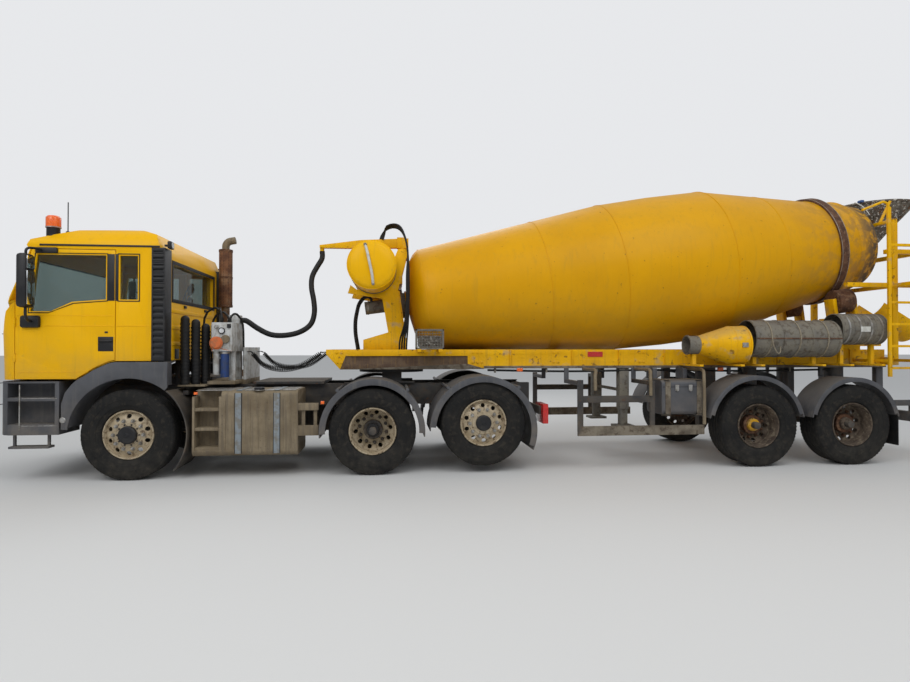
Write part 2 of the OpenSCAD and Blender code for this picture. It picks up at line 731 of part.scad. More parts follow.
module dashboard() {
    color(plastic) at_truck() {
        slab(cab_wall + 50 - cab_half, cab_half - cab_wall - 50, [
            [-1290, 1450], [-1230, 1760], [-1010, 1800],
            [-880, 1700], [-900, 1560], [-1150, cab_low_z + cab_wall], [-1290, cab_low_z + cab_wall]]);
        translate([-890, -660, 1660]) rotate([0, 55, 0]) cylinder(h = 200, r = 30);
        translate([-760, -660, 1760]) rotate([0, 55, 0]) rotate_extrude()
            translate([210, 0]) circle(r = 18, $fn = 24);
        translate([-760, -660, 1760]) rotate([0, 55, 0]) translate([-195, -25, -10]) cube([390, 50, 20]);
    }
}

module door(side) {
    at_truck() on_side(side) difference() {
        union() {
            slab(-cab_half, cab_wall - cab_half, door_outline(0));
            on_hinges() translate([0, 0, -barrel_h / 2]) cylinder(h = barrel_h, r = 2 * hinge_r);
        }
        slab(-cab_half - 1, cab_wall - cab_half + 1, door_window(0));
        // Hinge pins and the cab's lugs
        on_hinges() {
            translate([0, 0, -barrel_h / 2 - lug_h - 1])
                cylinder(h = barrel_h + 2 * lug_h + 2, r = hinge_r + hinge_gap);
            for (z = [-barrel_h / 2 - lug_h - 2, barrel_h / 2 - 0.1])
                translate([0, 0, z]) cylinder(h = lug_h + 2.1, r = 2 * hinge_r + 2);
        }
        // Hollow of the inner face
        block([-1120, cab_wall - cab_half - 25, 1440], [-260, cab_wall - cab_half + 1, 1840]);
        // Hand recess of the handle
        block([-330, -cab_half - 1, 1495], [-170, 25 - cab_half, 1657]);
    }
}

module door_glass(side) {
    at_truck() on_side(side) slab(22 - cab_half, 22 + glass_t - cab_half, door_window(seat_gap));
}

module mirror_unit(side) {
    head_x = -1075;
    head_y = -cab_half - 175;
    color(dark) at_truck() on_side(side) {
        translate([head_x - 20, head_y + 40, 1935]) rotate([0, 0, 12]) {
            translate([0, -160, 0]) cube([130, 180, 400]);
            translate([0, -160, 430]) cube([130, 180, 210]);
            translate([55, -80, 395]) cylinder(h = 40, r = 18);
        }
        translate([head_x, head_y, 1834]) cylinder(h = 110, r = 17);
        translate([head_x, head_y, 2560]) cylinder(h = 84, r = 17);
        cross_bar(head_x, 1850, head_y, -cab_half, 15);
        long_bar(head_x, -955, head_y, 2630, 14);
        cross_bar(-955, 2630, head_y - 14, -cab_half, 14);
    }
}

// Steering knuckles and wheels

module knuckle(side) {
    pin_z = tyre_r - 75;
    color(dark) at_truck() on_side(side) {
        difference() {
            union() {
                translate([0, -steer_pin_y, pin_z - 108]) cylinder(h = 40, r = 50);
                translate([0, -steer_pin_y, pin_z + 66]) cylinder(h = 40, r = 50);
                block([-48, -steer_pin_y - 110, pin_z - 108], [48, -steer_pin_y - 55, pin_z + 106]);
                block([-40, -steer_pin_y - 56, pin_z - 108], [40, -steer_pin_y - 20, pin_z - 68]);
                block([-40, -steer_pin_y - 56, pin_z + 66], [40, -steer_pin_y - 20, pin_z + 106]);
            }
            translate([0, -steer_pin_y, pin_z - 120]) cylinder(h = 240, r = steer_pin_r + hub_gap);
        }
        cross_bar(0, tyre_r, 60 - half_track, -steer_pin_y - 100, spindle_r);
        block([-200, -steer_pin_y - 100, pin_z - 107], [-47, -steer_pin_y - 60, pin_z - 77]);
    }
}

// Half profile of a tyre: radius and distance from the middle plane
function tyre_profile(w) = [[rim_r + 2, w / 2 - 45], [330, w / 2 - 14], [400, w / 2], [465, w / 2 - 3],
    [tyre_r - 18, w / 2 - 26], [tyre_r, w / 2 - 55], [tyre_r, 55 - w / 2], [tyre_r - 18, 26 - w / 2],
    [465, 3 - w / 2], [400, -w / 2], [330, 14 - w / 2], [rim_r + 2, 45 - w / 2]];

module tyre(w) {
    color([0.10, 0.10, 0.10]) rotate_extrude() polygon(tyre_profile(w));
}

// Rim with its disc at a depth from the middle plane, +Z outwards, on a spindle hole
module rim(w, disc_z, dish, hub_low, hub_high, hub_r) {
    barrel = w / 2 - 47;
    difference() {
        union() {
            rotate_extrude() polygon([[rim_r - 26, -barrel], [rim_r + 1.7, -barrel], [rim_r + 1.7, barrel],
                [rim_r - 26, barrel]]);
            rotate_extrude() polygon([[80, disc_z + dish], [150, disc_z + dish], [rim_r - 10, disc_z],
                [rim_r - 10, disc_z - 16], [150, disc_z + dish - 16], [80, disc_z + dish - 16]]);
            translate([0, 0, hub_low]) cylinder(h = hub_high - hub_low, r = hub_r);
        }
        for (i = [0 : 9])
            rotate([0, 0, 36 * i]) translate([hand_circle_r, 0, disc_z - 60])
                cylinder(h = 160, r = hand_hole_r);
    }
}

// Discs of a twin wheel, dished until they meet between the tyres
twin_disc = 64 - tyre_w / 2;
twin_dish = 16 - tyre_w / 2 - twin_gap / 2 - twin_disc;

// Wheel on the left side: outer tyre at the track, twin tyre beside it when asked
module wheel_unit(x, z, w, twin, disc_z, dish, hub_high, side, hue) {
    mid_y = half_track - w / 2;
    hub_low = twin ? -w / 2 - twin_gap - 100 : -95;
    spindle_end = w / 2 - 38;
    at_truck() on_side(side) translate([x, -mid_y, z]) rotate([90, 0, 0]) {
        tyre(w);
        if (twin) translate([0, 0, -w - twin_gap]) tyre(w);
        color(hue) difference() {
            union() {
                rim(w, disc_z, dish, hub_low, hub_high, 110);
                if (twin) translate([0, 0, -w - twin_gap]) mirror([0, 0, 1])
                    rim(w, twin_disc, twin_dish, -w / 2 - twin_gap / 2, 40, 111);
            }
            translate([0, 0, hub_low - 400])
                cylinder(h = spindle_end - hub_low + 400, r = spindle_r + hub_gap);
        }
    }
}

cream = [0.78, 0.74, 0.62];
rust = [0.35, 0.26, 0.18];

module wheel_front(side) {
    wheel_unit(0, tyre_r, tyre_w, false, 70, 42, 165, side, cream);
}

module wheel_drive(side) {
    wheel_unit(drive_x, tyre_r, tyre_w, true, twin_disc, twin_dish, 60, side, cream);
}

module wheel_tag(side) {
    wheel_unit(tag_x, tag_z, tyre_w, false, 70, 42, 150, side, cream);
}

module wheel_trailer(x, side) {
    wheel_unit(x, tyre_r, wide_tyre_w, false, -60, 0, 120, side, rust);
}

// Trailer

// Line on which the funnel, chutes and trunk are stowed
stow_y = -frame_half - 360;
funnel_x = 6885;
funnel_z = 1570;
funnel_r = 250;
stowed_z = 1655;
stowed_r = 245;
trunk_z = 1785;
trunk_r = 205;

// Columns: station of a cradle arm, height of the piece that rests on it
cradle_table = [[6960, funnel_z - 120], [7520, funnel_z - funnel_r], [7800, stowed_z - stowed_r],
    [8650, stowed_z - stowed_r], [9050, trunk_z - trunk_r], [9500, trunk_z - trunk_r]];

module trailer_frame() {
    low = coupling_z;
    nose = [[trailer_front_x + 180, low], [trailer_front_x, beam_top_z - 60], [trailer_front_x, beam_top_z],
        [4250, beam_top_z], [4250, low]];
    color(yellow) at_truck() {
        difference() {
            both_sides() slab(-frame_half, beam_w - frame_half, nose);
            both_sides() block([2430, -frame_half - 1, 1320], [4030, 16 - frame_half, 1425]);
        }
        slab(-frame_half + 10, frame_half - 10, [[trailer_front_x + 180, low],
            [trailer_front_x, beam_top_z - 60], [trailer_front_x, beam_top_z],
            [trailer_front_x + 120, beam_top_z], [trailer_front_x + 300, low]]);
        // Rails with a wider lower flange
        both_sides() {
            block([4249, -frame_half, 1290], [trailer_rear_x, beam_w - frame_half, beam_top_z]);
            block([4249, -frame_half - 25, low + 8], [trailer_rear_x, beam_w + 20 - frame_half, 1291]);
        }
        // Rubbing plate over the fifth wheel
        block([trailer_front_x + 181, 1 - frame_half, low], [4249, frame_half - 1, low + 12]);
        for (x = [4300, 5300, 6400, 7350, 8350, 9250, trailer_rear_x - 100])
            block([x, -frame_half + beam_w - 1, 1300], [x + 100, frame_half - beam_w + 1, 1430]);
        block([2700, -frame_half + beam_w - 1, 1400], [3250, frame_half - beam_w + 1, beam_top_z]);
        // Cradle arms for what is stowed on the left
        for (c = cradle_table) {
            block([c[0], stow_y - 220, 1292], [c[0] + 50, -frame_half + 1, 1317]);
            if (c[1] > 1318) block([c[0], stow_y - 30, 1316], [c[0] + 50, stow_y + 30, c[1] - seat_gap]);
        }
    }
    color(dark) at_truck() translate([kingpin_x, 0, low - 84]) cylinder(h = 85, r = kingpin_r);
}

water_x = 2780;
water_z = 2560;
gearbox_r = 165;

module drum_pedestal() {
    plate = [[2650, beam_top_z], [3230, beam_top_z], [3230, 1640], [3180, 1740], [3110, 2300],
        [3250, 2860], [3110, 2860], [2900, 2330], [2560, 2310], [2480, 2370], [2445, 2260],
        [2900, 2190], [2980, 1740], [2650, 1640]];
    color(yellow) at_truck() {
        both_sides() difference() {
            slab(-430, -390, plate);
            cross_bar(water_x, water_z, -440, -380, water_r + seat_gap);
        }
        block([2650, -431, beam_top_z], [3230, 431, 1640]);
        block([3120, -391, 2400], [3170, 391, 2780]);
        intersection() {
            block([2900, -391, 1639], [3300, 391, 2300]);
            difference() {
                on_drum_axis(-230) translate([-600, -400, 0]) cube([1200, 800, 30]);
                on_drum_axis(-300) cylinder(h = 200, r = gearbox_r + seat_gap);
            }
        }
    }
}

module drum_gearbox() {
    color(dark) at_truck() {
        on_drum_axis(-400) cylinder(h = 241, r = gearbox_r);
        on_drum_axis(-160) cylinder(h = 30, r = 150);
        on_drum_axis(-700) cylinder(h = 301, r = 90);
        on_drum_axis(-199.5) cylinder(h = 39, r = 205);
    }
}

module water_tank() {
    end_y = 1060;
    color(yellow) at_truck() {
        cross_bar(water_x, water_z, -end_y, end_y, water_r);
        both_sides() translate([water_x, -end_y, water_z]) rotate([90, 0, 0]) rotate_extrude()
            polygon([[0, 0], [water_r, 0], [water_r - 30, 28], [water_r - 110, 52], [0, 70]]);
    }
}

module hose_arm() {
    color(yellow) at_truck() {
        block([3100, -150, 2780], [3240, 150, 2861]);
        translate([3175, 0, 2860]) cylinder(h = 100, r = 60);
        slab(-50, 50, [[2030, 2960], [2030, 2925], [2600, 2925], [3260, 2945], [3260, 3075], [2600, 3040]]);
        translate([2060, 0, 2880]) cylinder(h = 60, r = 30);
    }
    color(grey) at_truck() block([3100, -62, 2935], [3230, 62, 3085]);
}

ring_seat_r = 768;

// Drum: distance from the front plane and outer radius
drum_profile = [[-100, 0], [-92, 230], [-55, 430], [0, 580], [55, 665], [120, 720], [2750, 1050],
    [3500, drum_r], [4250, drum_r], [ring_s - 50, ring_seat_r], [ring_s + ring_w + 50, ring_seat_r],
    [6330, 695], [6370, 712], [6410, 690], [drum_len - 30, mouth_r], [drum_len, mouth_r]];

module drum_shell() {
    outer = [for (p = drum_profile) [p[1], p[0]]];
    inner = [for (i = [len(drum_profile) - 1 : -1 : 1]) [drum_profile[i][1] - drum_wall,
        i == len(drum_profile) - 1 ? drum_len : max(drum_profile[i][0], -100 + drum_wall + 0.1 * i)]];
    color(yellow) at_truck() {
        on_drum_axis() rotate_extrude() polygon(concat(outer, inner, [[0, -100 + drum_wall]]));
        on_drum_axis(-130) cylinder(h = 45, r = 170);
    }
}

module drum_ring() {
    color(rust) at_truck() on_drum_axis(ring_s) difference() {
        cylinder(h = ring_w, r = ring_r);
        translate([0, 0, -1]) cylinder(h = ring_w + 2, r = ring_seat_r + seat_gap);
    }
}

roller_len = 240;
roller_gap = 0.5;
roller_dist = ring_r + roller_r + roller_gap;
roller_pin_r = 35;

// Places children on a support roller's axis; side is -1 on the left
module on_roller(side) {
    on_drum_axis(ring_s + ring_w / 2 - roller_len / 2)
        translate([roller_dist * cos(roller_angle), side * roller_dist * sin(roller_angle), 0]) children();
}

module roller(side) {
    color(rust) at_truck() on_roller(side) difference() {
        cylinder(h = roller_len, r = roller_r);
        translate([0, 0, -1]) cylinder(h = roller_len + 2, r = roller_pin_r + hub_gap);
    }
}

// Outer face of the ladder, clear of the stowed trunk
ladder_y = stow_y - trunk_r - 65;

module rear_tower() {
    post_y = 760;
    color(yellow) at_truck() {
        // Roller stands
        for (s = [left, right]) {
            on_roller(s) translate([0, 0, -60]) cylinder(h = roller_len + 120, r = roller_pin_r);
            for (z = [-60, roller_len + 6])
                on_roller(s) translate([-50, -90, z]) cube([330, 180, 54]);
        }
        both_sides() block([9180, -frame_half - 40, beam_top_z], [9640, -frame_half + beam_w + 60, 1950]);
        block([9180, -frame_half, 1600], [9640, frame_half, 1700]);
        // Posts and beams round the mouth
        both_sides() {
            block([9980, -post_y - 70, 1292], [10060, -post_y, 3300]);
            block([9980, -post_y - 70, 1292], [10049, -frame_half, 1400]);
            block([9300, -post_y - 70, 2380], [10480, -post_y, 2440]);
            block([9900, -post_y - 70, 2850], [10480, -post_y, 2910]);
            block([9980, ladder_y + 30, 2380], [10030, -post_y, 2430]);
        }
        block([10059, -post_y - 70, 2380], [10090, post_y + 70, 2440]);
        block([10430, -post_y, 2850], [10480, post_y, 2910]);
        block([9985, -post_y, 1700], [10055, post_y, 1780]);
        // Bracket and pin for the chute
        block([10050, -120, 1560], [chute_x + 70, 120, 1620]);
        block([10050, -60, 1619], [10090, 60, 1779]);
        block([10000, -120, 1560], [10055, 120, 1779]);
        translate([chute_x, 0, 1619]) cylinder(h = 130, r = chute_pin_r);
        // Platform
        block([10029, ladder_y, 2400], [10480, -post_y - 69, 2430]);
    }
}

module ladder() {
    in_y = ladder_y + 30;
    color(yellow) at_truck() {
        for (x = [9560, 9980])
            block([x, ladder_y, 1150], [x + 45, in_y, 3400]);
        for (z = [1250 : 290 : 2380])
            block([9590, ladder_y, z], [9990, in_y, z + 30]);
        tube([[9580, ladder_y + 15, 3390], [9560, ladder_y + 15, 3450], [9500, ladder_y + 15, 3470],
            [9200, ladder_y + 15, 3350]], 17);
        block([9560, in_y - 1, 1340], [9605, -frame_half, 1380]);
        block([9985, in_y - 1, 1340], [10020, -830, 1380]);
        block([9590, ladder_y, 2880], [9990, in_y, 2915]);
    }
}

module hopper() {
    foot_z = 3080;
    foot_x = chute_x - 340;
    foot_len = 320;
    foot_half = 230;
    wall = 10;
    post_out = 830;
    color(grey) at_truck() {
        difference() {
            union() {
                hull() {
                    block([9990, -560, hopper_z - 30], [chute_x + hopper_back, 560, hopper_z]);
                    block([foot_x, -foot_half, foot_z], [foot_x + foot_len, foot_half, foot_z + 40]);
                }
                // Beam that rests on the tower's posts
                block([9991, -post_out, 3300], [10055, post_out, 3340]);
            }
            hull() {
                block([9990 + wall, wall - 560, hopper_z - 20],
                    [chute_x + hopper_back - wall, 560 - wall, hopper_z + 1]);
                block([foot_x + wall, wall - foot_half, foot_z - 1],
                    [foot_x + foot_len - wall, foot_half - wall, foot_z + 39]);
            }
        }
        block([9700, -480, hopper_z - 65], [9992, 480, hopper_z - 50]);
    }
    // Discharge pan under the mouth, with its spout
    spout = [[10270, -110, 2060], [10400, 110, 2420]];
    color(rust) at_truck() difference() {
        union() {
            hull() {
                block([10090, -600, 2380], [10110, 600, 2840]);
                block([10370, -120, 2330], [10400, 120, 2500]);
            }
            block(spout[0], spout[1]);
        }
        hull() {
            block([10080, -590, 2390], [10100, 590, 2900]);
            block([10360, -110, 2340], [10390, 110, 2560]);
        }
        block(spout[0] + [wall, wall, -1], spout[1] + [-wall, -wall, 1]);
        block([10000, -700, 2841], [10500, 700, 3200]);
    }
}

module half_pipe(r, t, length) {
    difference() {
        cylinder(h = length, r = r);
        translate([0, 0, -1]) cylinder(h = length + 2, r = r - t);
        translate([-r - 1, -r - 1, -1]) cube([r + 1, 2 * r + 2, length + 2]);
    }
}

module chute_post() {
    color(yellow) at_truck() {
        difference() {
            union() {
                translate([chute_x, 0, 1625]) cylinder(h = 165, r = 65);
                both_sides() block([chute_x - 40, -115, 1725], [chute_x + 40, -75, chute_z + 38]);
                block([chute_x - 40, -114, 1725], [chute_x + 40, 114, 1790]);
            }
            translate([chute_x, 0, 1600]) cylinder(h = 155, r = chute_pin_r + hub_gap);
        }
        cross_bar(chute_x, chute_z, -115, 115, tilt_pin_r);
    }
}

module chute() {
    lug_half = 65;
    color(yellow) at_truck() translate([chute_x, 0, chute_z]) rotate([0, 90 + chute_slope, 0]) difference() {
        union() {
            translate([-chute_lift, 0, -chute_lead]) half_pipe(trough_r, 8, chute_len);
            translate([trough_r - chute_lift - 12, -lug_half, -50])
                cube([chute_lift - trough_r + 40, 2 * lug_half, 100]);
        }
        rotate([90, 0, 0]) translate([0, 0, -lug_half - 1])
            cylinder(h = 2 * lug_half + 2, r = tilt_pin_r + hub_gap);
    }
}

module stowed_funnel() {
    wall = 8;
    small_r = 120;
    color(yellow) at_truck() translate([funnel_x, stow_y, funnel_z]) rotate([0, 90, 0]) difference() {
        union() {
            cylinder(h = 160, r = small_r);
            translate([0, 0, 159]) cylinder(h = 421, r1 = small_r, r2 = funnel_r);
            translate([0, 0, 579]) cylinder(h = 200, r = funnel_r);
        }
        translate([0, 0, -1]) cylinder(h = 170, r = small_r - wall);
        translate([0, 0, 160]) cylinder(h = 420, r1 = small_r - wall, r2 = funnel_r - wall);
        translate([0, 0, 579]) cylinder(h = 250, r = funnel_r - wall);
    }
}

module stowed_chutes() {
    wall = 8;
    color(grey) at_truck() {
        for (a = [0, 180])
            translate([7720, stow_y, stowed_z]) rotate([0, 90, 0]) rotate([0, 0, a])
                translate([seat_gap / 2, 0, 0]) half_pipe(stowed_r - seat_gap / 2, wall, 1200);
        translate([8960, stow_y, trunk_z]) rotate([0, 90, 0]) difference() {
            cylinder(h = 660, r = trunk_r);
            translate([0, 0, -1]) cylinder(h = 662, r = trunk_r - wall);
        }
    }
}

module trailer_axles() {
    color(dark) at_truck() for (x = [trailer_axle_x, trailer_axle2_x]) {
        cross_bar(x, tyre_r, -780, 780, 75);
        cross_bar(x, tyre_r, 60 - half_track, half_track - 60, spindle_r);
        both_sides() {
            block([x - 420, -frame_half + 20, tyre_r - 40], [x + 330, -frame_half + 110, tyre_r + 40]);
            block([x - 480, -frame_half + 10, tyre_r - 60], [x - 380, -frame_half + 120, coupling_z + 8]);
            translate([x + 260, -frame_half + 65, tyre_r + 39])
                cylinder(h = coupling_z - tyre_r - 31, r = 120);
        }
    }
}

module trailer_guards() {
    side_y = half_track - 30;
    bumper_x = trailer_rear_x + 429;
    color(plastic) at_truck() {
        both_sides() {
            for (g = [[7690, 640], [9056, 608]]) {
                arc_sheet(g[0], tyre_r, g[1], guard_t, -guard_half, 410 - half_track, 10, 170);
                arc_sheet(g[0], tyre_r, g[1] - 45, 46, -guard_half, guard_t - guard_half, 14, 166);
                block([g[0] - 20, 350 - half_track, tyre_r + g[1]],
                    [g[0] + 20, -frame_half + 20, tyre_r + g[1] + 10]);
                block([g[0] - 20, -frame_half - 20, tyre_r + g[1]],
                    [g[0] + 20, -frame_half + 20, coupling_z + 8]);
            }
        }
    }
    // Side guards ahead of the wheels
    color(grey) at_truck() both_sides() {
        block([5340, -side_y, 480], [5410, 35 - side_y, 1130]);
        block([5409, -side_y, 430], [7000, 30 - side_y, 550]);
        block([5340, -side_y, 430], [5410, 30 - side_y, 481]);
        block([5409, -side_y, 845], [6300, 30 - side_y, 930]);
        for (x = [5340, 6280]) {
            block([x, 34 - side_y, 1060], [x + 60, -frame_half - 10, 1110]);
            block([x, -frame_half - 24, 1060], [x + 60, -frame_half, coupling_z + 8]);
        }
        block([6280, -side_y, 549], [6340, 30 - side_y, 1110]);
    }
    // Rear bumper on two hangers, with its lamps
    color(yellow) at_truck() {
        both_sides() {
            block([trailer_rear_x - 120, -frame_half + 10, 560],
                [trailer_rear_x - 20, -frame_half + 90, coupling_z + 8]);
            block([trailer_rear_x - 60, -frame_half + 10, 700], [bumper_x + 1, -frame_half + 70, 780]);
            block([bumper_x + 1, -frame_half + 10, 609], [bumper_x + 61, -frame_half + 70, 781]);
        }
        block([bumper_x, -gear_half, 470], [bumper_x + 81, gear_half, 610]);
    }
    color(dark) at_truck() both_sides()
        block([bumper_x + 80, 10 - gear_half, 490], [bumper_x + 111, 440 - gear_half, 600]);
}

module toolbox() {
    color([0.25, 0.28, 0.32]) at_truck() {
        round_box([6450, 65 - half_track, 680], [7030, 525 - half_track, 1120], 60);
        for (x = [6500, 6920])
            block([x, 445 - half_track, 1119], [x + 60, -frame_half + 10, coupling_z + 8]);
    }
}

module landing_legs() {
    leg_x = 6120;
    color(grey) at_truck() {
        both_sides() {
            block([leg_x, -frame_half, 700], [leg_x + 130, -frame_half + 130, coupling_z + 8]);
            block([leg_x + 15, -frame_half + 15, 480], [leg_x + 115, -frame_half + 115, 701]);
            block([leg_x - 60, -frame_half - 50, 450], [leg_x + 190, -frame_half + 180, 481]);
        }
        cross_bar(leg_x + 65, 950, -frame_half + 10, frame_half - 10, 22);
    }
}

// Hoses: routes in stations, sides and heights, chosen by hand
hose_r = 36;
cable_r = 24;
main_hose_route = [[2060, 0, 2880], [2060, 0, 2780], [1995, -20, 2660], [1930, -40, 2520], [1925, -70, 2360],
    [1960, -110, 2190], [1975, -150, 2010], [1930, -190, 1850], [1790, -230, 1745], [1600, -260, 1700],
    [1420, -290, 1710], [1260, -320, 1790], [1120, -350, 1890], [1050, -350, 1890]];
cable_ys = [-480, -390, 390, 480];

function cable_route(y, d) = [[1130, y * 0.75, 1480], [1180, y * 0.75, 1480], [1240, y * 0.8, 1420 - d / 2],
    [1320, y * 0.85, 1340 - d], [1440, y * 0.9, 1285 - d], [1580, y * 0.95, 1265 - d], [1720, y, 1275 - d],
    [1860, y, 1320 - d], [1980, y, 1390 - d / 2], [2080, y, 1455], [2130, y, 1475], [2180, y, 1475]];

module main_hose() {
    color(dark) at_truck() tube(main_hose_route, hose_r, 10);
}

module coiled_cables() {
    color(dark) at_truck() for (i = [0 : 3])
        tube(cable_route(cable_ys[i], 25 * (i % 2)), cable_r);
}

tractor_frame();
engine_block();
front_axle();
rear_axles();
front_bumper();
tractor_lamps();
fuel_tank();
battery_box();
exhaust();
hydraulic_unit();
fifth_wheel();
tractor_mudguards();
cab_shell();
cab_glass();
grille();
cab_arches();
air_intake();
beacon();
seats();
dashboard();
color(yellow) door(left);  // door_left
color(yellow) door(right);  // door_right
color([0.55, 0.65, 0.62, 0.5]) door_glass(left);  // door_glass_left
color([0.55, 0.65, 0.62, 0.5]) door_glass(right);  // door_glass_right
mirror_unit(left);  // mirror_left
mirror_unit(right);  // mirror_right
knuckle(left);  // knuckle_left
knuckle(right);  // knuckle_right
wheel_front(left);  // wheel_front_left
wheel_front(right);  // wheel_front_right
wheel_drive(left);  // wheel_drive_left
wheel_drive(right);  // wheel_drive_right
wheel_tag(left);  // wheel_tag_left
wheel_tag(right);  // wheel_tag_right
wheel_trailer(trailer_axle_x, left);  // wheel_trailer1_left
wheel_trailer(trailer_axle_x, right);  // wheel_trailer1_right
wheel_trailer(trailer_axle2_x, left);  // wheel_trailer2_left
wheel_trailer(trailer_axle2_x, right);  // wheel_trailer2_right
trailer_frame();
drum_pedestal();
drum_gearbox();
water_tank();
hose_arm();
drum_shell();
drum_ring();
roller(left);  // roller_left
roller(right);  // roller_right
rear_tower();
ladder();
hopper();
stowed_funnel();
stowed_chutes();
trailer_axles();
trailer_guards();
toolbox();
landing_legs();
chute_post();
chute();
main_hose();
coiled_cables();
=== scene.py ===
"""Looks of an articulated concrete mixer lorry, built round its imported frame.

Stations run rearwards from the front axle, as in the part's source. The vehicle's left side is -Y.
"""

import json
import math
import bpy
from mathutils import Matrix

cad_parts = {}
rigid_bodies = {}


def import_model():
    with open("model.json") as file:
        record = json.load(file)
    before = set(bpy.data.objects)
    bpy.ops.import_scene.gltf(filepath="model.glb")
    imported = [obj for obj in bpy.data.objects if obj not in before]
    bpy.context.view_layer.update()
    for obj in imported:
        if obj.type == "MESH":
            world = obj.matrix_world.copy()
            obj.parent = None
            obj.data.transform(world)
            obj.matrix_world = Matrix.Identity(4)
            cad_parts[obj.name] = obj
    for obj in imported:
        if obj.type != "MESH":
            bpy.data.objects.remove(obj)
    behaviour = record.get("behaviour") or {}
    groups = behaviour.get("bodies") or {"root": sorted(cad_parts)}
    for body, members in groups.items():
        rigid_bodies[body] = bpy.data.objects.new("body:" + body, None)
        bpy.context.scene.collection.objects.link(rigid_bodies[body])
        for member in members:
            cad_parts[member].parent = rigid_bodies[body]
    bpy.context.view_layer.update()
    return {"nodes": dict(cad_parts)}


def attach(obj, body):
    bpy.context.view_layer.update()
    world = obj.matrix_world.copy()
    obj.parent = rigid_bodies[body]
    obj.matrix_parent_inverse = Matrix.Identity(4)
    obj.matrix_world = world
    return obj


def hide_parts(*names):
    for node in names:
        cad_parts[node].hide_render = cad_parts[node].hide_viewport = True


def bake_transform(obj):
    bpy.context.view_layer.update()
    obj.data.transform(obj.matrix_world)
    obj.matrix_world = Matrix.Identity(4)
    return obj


bl_info = {
    "name": "Mixer Lorry Looks",
    "version": (1, 0, 0),
    "blender": (4, 5, 0),
    "location": "3D View > Sidebar > Mixer Lorry",
    "description": "Builds the finishes, fittings, hoses and stage of an articulated concrete mixer lorry",
    "category": "Object",
}

import bpy
from bpy.props import FloatProperty, FloatVectorProperty, IntProperty, PointerProperty
from mathutils import Matrix, Vector

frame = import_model()

# Station of the frame's origin, and the two sides
MIDDLE = 4.785
LEFT, RIGHT = -1, 1
SIDES = (LEFT, RIGHT)
SIDE_NAMES = {LEFT: "left", RIGHT: "right"}

# Sizes, stations and heights that several pieces share, in metres and degrees
TYRE_R = 0.525
TYRE_W = 0.315
WIDE_W = 0.385
TWIN_GAP = 0.034
HALF_TRACK = 1.245
RIM_R = 0.288
NUT_CIRCLE, HOLE_CIRCLE = 0.1675, 0.215
DRIVE_X, TAG_X, TAG_Z = 2.8, 4.15, 0.61
TRAILER_XS = (7.74, 9.05)
CAB_HALF = 1.215
FRAME_HALF = 0.6
DRUM_X, DRUM_Z, DRUM_TILT = 3.35, 2.18, 7.7
TANK_X, TANK_Z = 2.78, 2.56
STOW_Y = -0.96
HOPPER_FOOT, HOPPER_HIGH, HOPPER_LEAN = 3.08, 0.62, 0.225
X_AXIS, Y_AXIS, Z_AXIS, OUT_LEFT = (1, 0, 0), (0, 1, 0), (0, 0, 1), (0, -1, 0)
DRUM_AXIS = (math.cos(math.radians(DRUM_TILT)), 0, math.sin(math.radians(DRUM_TILT)))
ORIGIN = (0, 0, 0)

# Repeats: fuel tank straps and tread plates, studs on them, duct rings, box wires, cushion channels,
# loop hoses
STRAP_XS = (1.236, 1.677)
TREAD_SPANS = ((0.745, 1.15), (1.3, 1.4), (1.545, 1.63), (1.73, 1.89))
STUD_STEP, STUD_ROW, STUD_ROWS = 0.045, 0.049, 11
RING_STEP = 0.045
WIRE_STEP = 0.033
CHANNEL_HALF = 0.03
LOOP_GAP = 0.03


class LorrySettings(bpy.types.PropertyGroup):
    """Sizes and colours that someone would change."""

    paint: FloatVectorProperty(name="Paint", description="Yellow of the cab, drum and trailer",
                               subtype="COLOR", default=(0.84, 0.445, 0.002))
    plastic: FloatVectorProperty(name="Plastic", description="Grey of the bumper and mudguards",
                                 subtype="COLOR", default=(0.058, 0.06, 0.068))
    rim_paint: FloatVectorProperty(name="Rim paint", description="Cream of the tractor's rims",
                                   subtype="COLOR", default=(0.46, 0.38, 0.26))
    dust: FloatVectorProperty(name="Dust", description="Road dust on the low parts",
                              subtype="COLOR", default=(0.2, 0.16, 0.115))
    edge_round: FloatProperty(name="Edge rounding", description="Rounding of plate and beam edges",
                              default=0.004, min=0.001, max=0.01, unit="LENGTH")
    nut_width: FloatProperty(name="Nut width", description="Width of a wheel nut over its corners",
                             default=0.036, min=0.03, max=0.045, unit="LENGTH")
    wheel_steps: IntProperty(name="Wheel steps", description="Segments round a tyre", default=80,
                             min=48, max=128)
    drum_steps: IntProperty(name="Drum steps", description="Segments round the drum", default=144,
                            min=64, max=256)


def settings():
    return bpy.context.scene.lorry


def spot(x, y, z):
    """Point of the frame from a station, a side and a height."""
    return Vector((x - MIDDLE, y, z))


# Modelling helpers. Every piece ends with its place in its mesh

def deselect():
    if bpy.context.object and bpy.context.object.mode != "OBJECT":
        bpy.ops.object.mode_set(mode="OBJECT")
    bpy.ops.object.select_all(action="DESELECT")


def pick(piece):
    deselect()
    piece.select_set(True)
    bpy.context.view_layer.objects.active = piece
    return piece


def settle(piece):
    """Moves a piece's place into its mesh."""
    pick(piece)
    bpy.ops.object.transform_apply(location=True, rotation=True, scale=True)
    return piece


def use(piece, kind, **values):
    """Adds a modifier, sets it and applies it."""
    pick(piece)
    bpy.ops.object.modifier_add(type=kind)
    modifier = piece.modifiers[-1]
    for key, value in values.items():
        setattr(modifier, key, value)
    bpy.ops.object.modifier_apply(modifier=modifier.name)
    return piece


def rounded(piece, width, segments=2, angle=35.0):
    return use(piece, "BEVEL", width=width, segments=segments, limit_method="ANGLE",
               angle_limit=math.radians(angle), use_clamp_overlap=True)


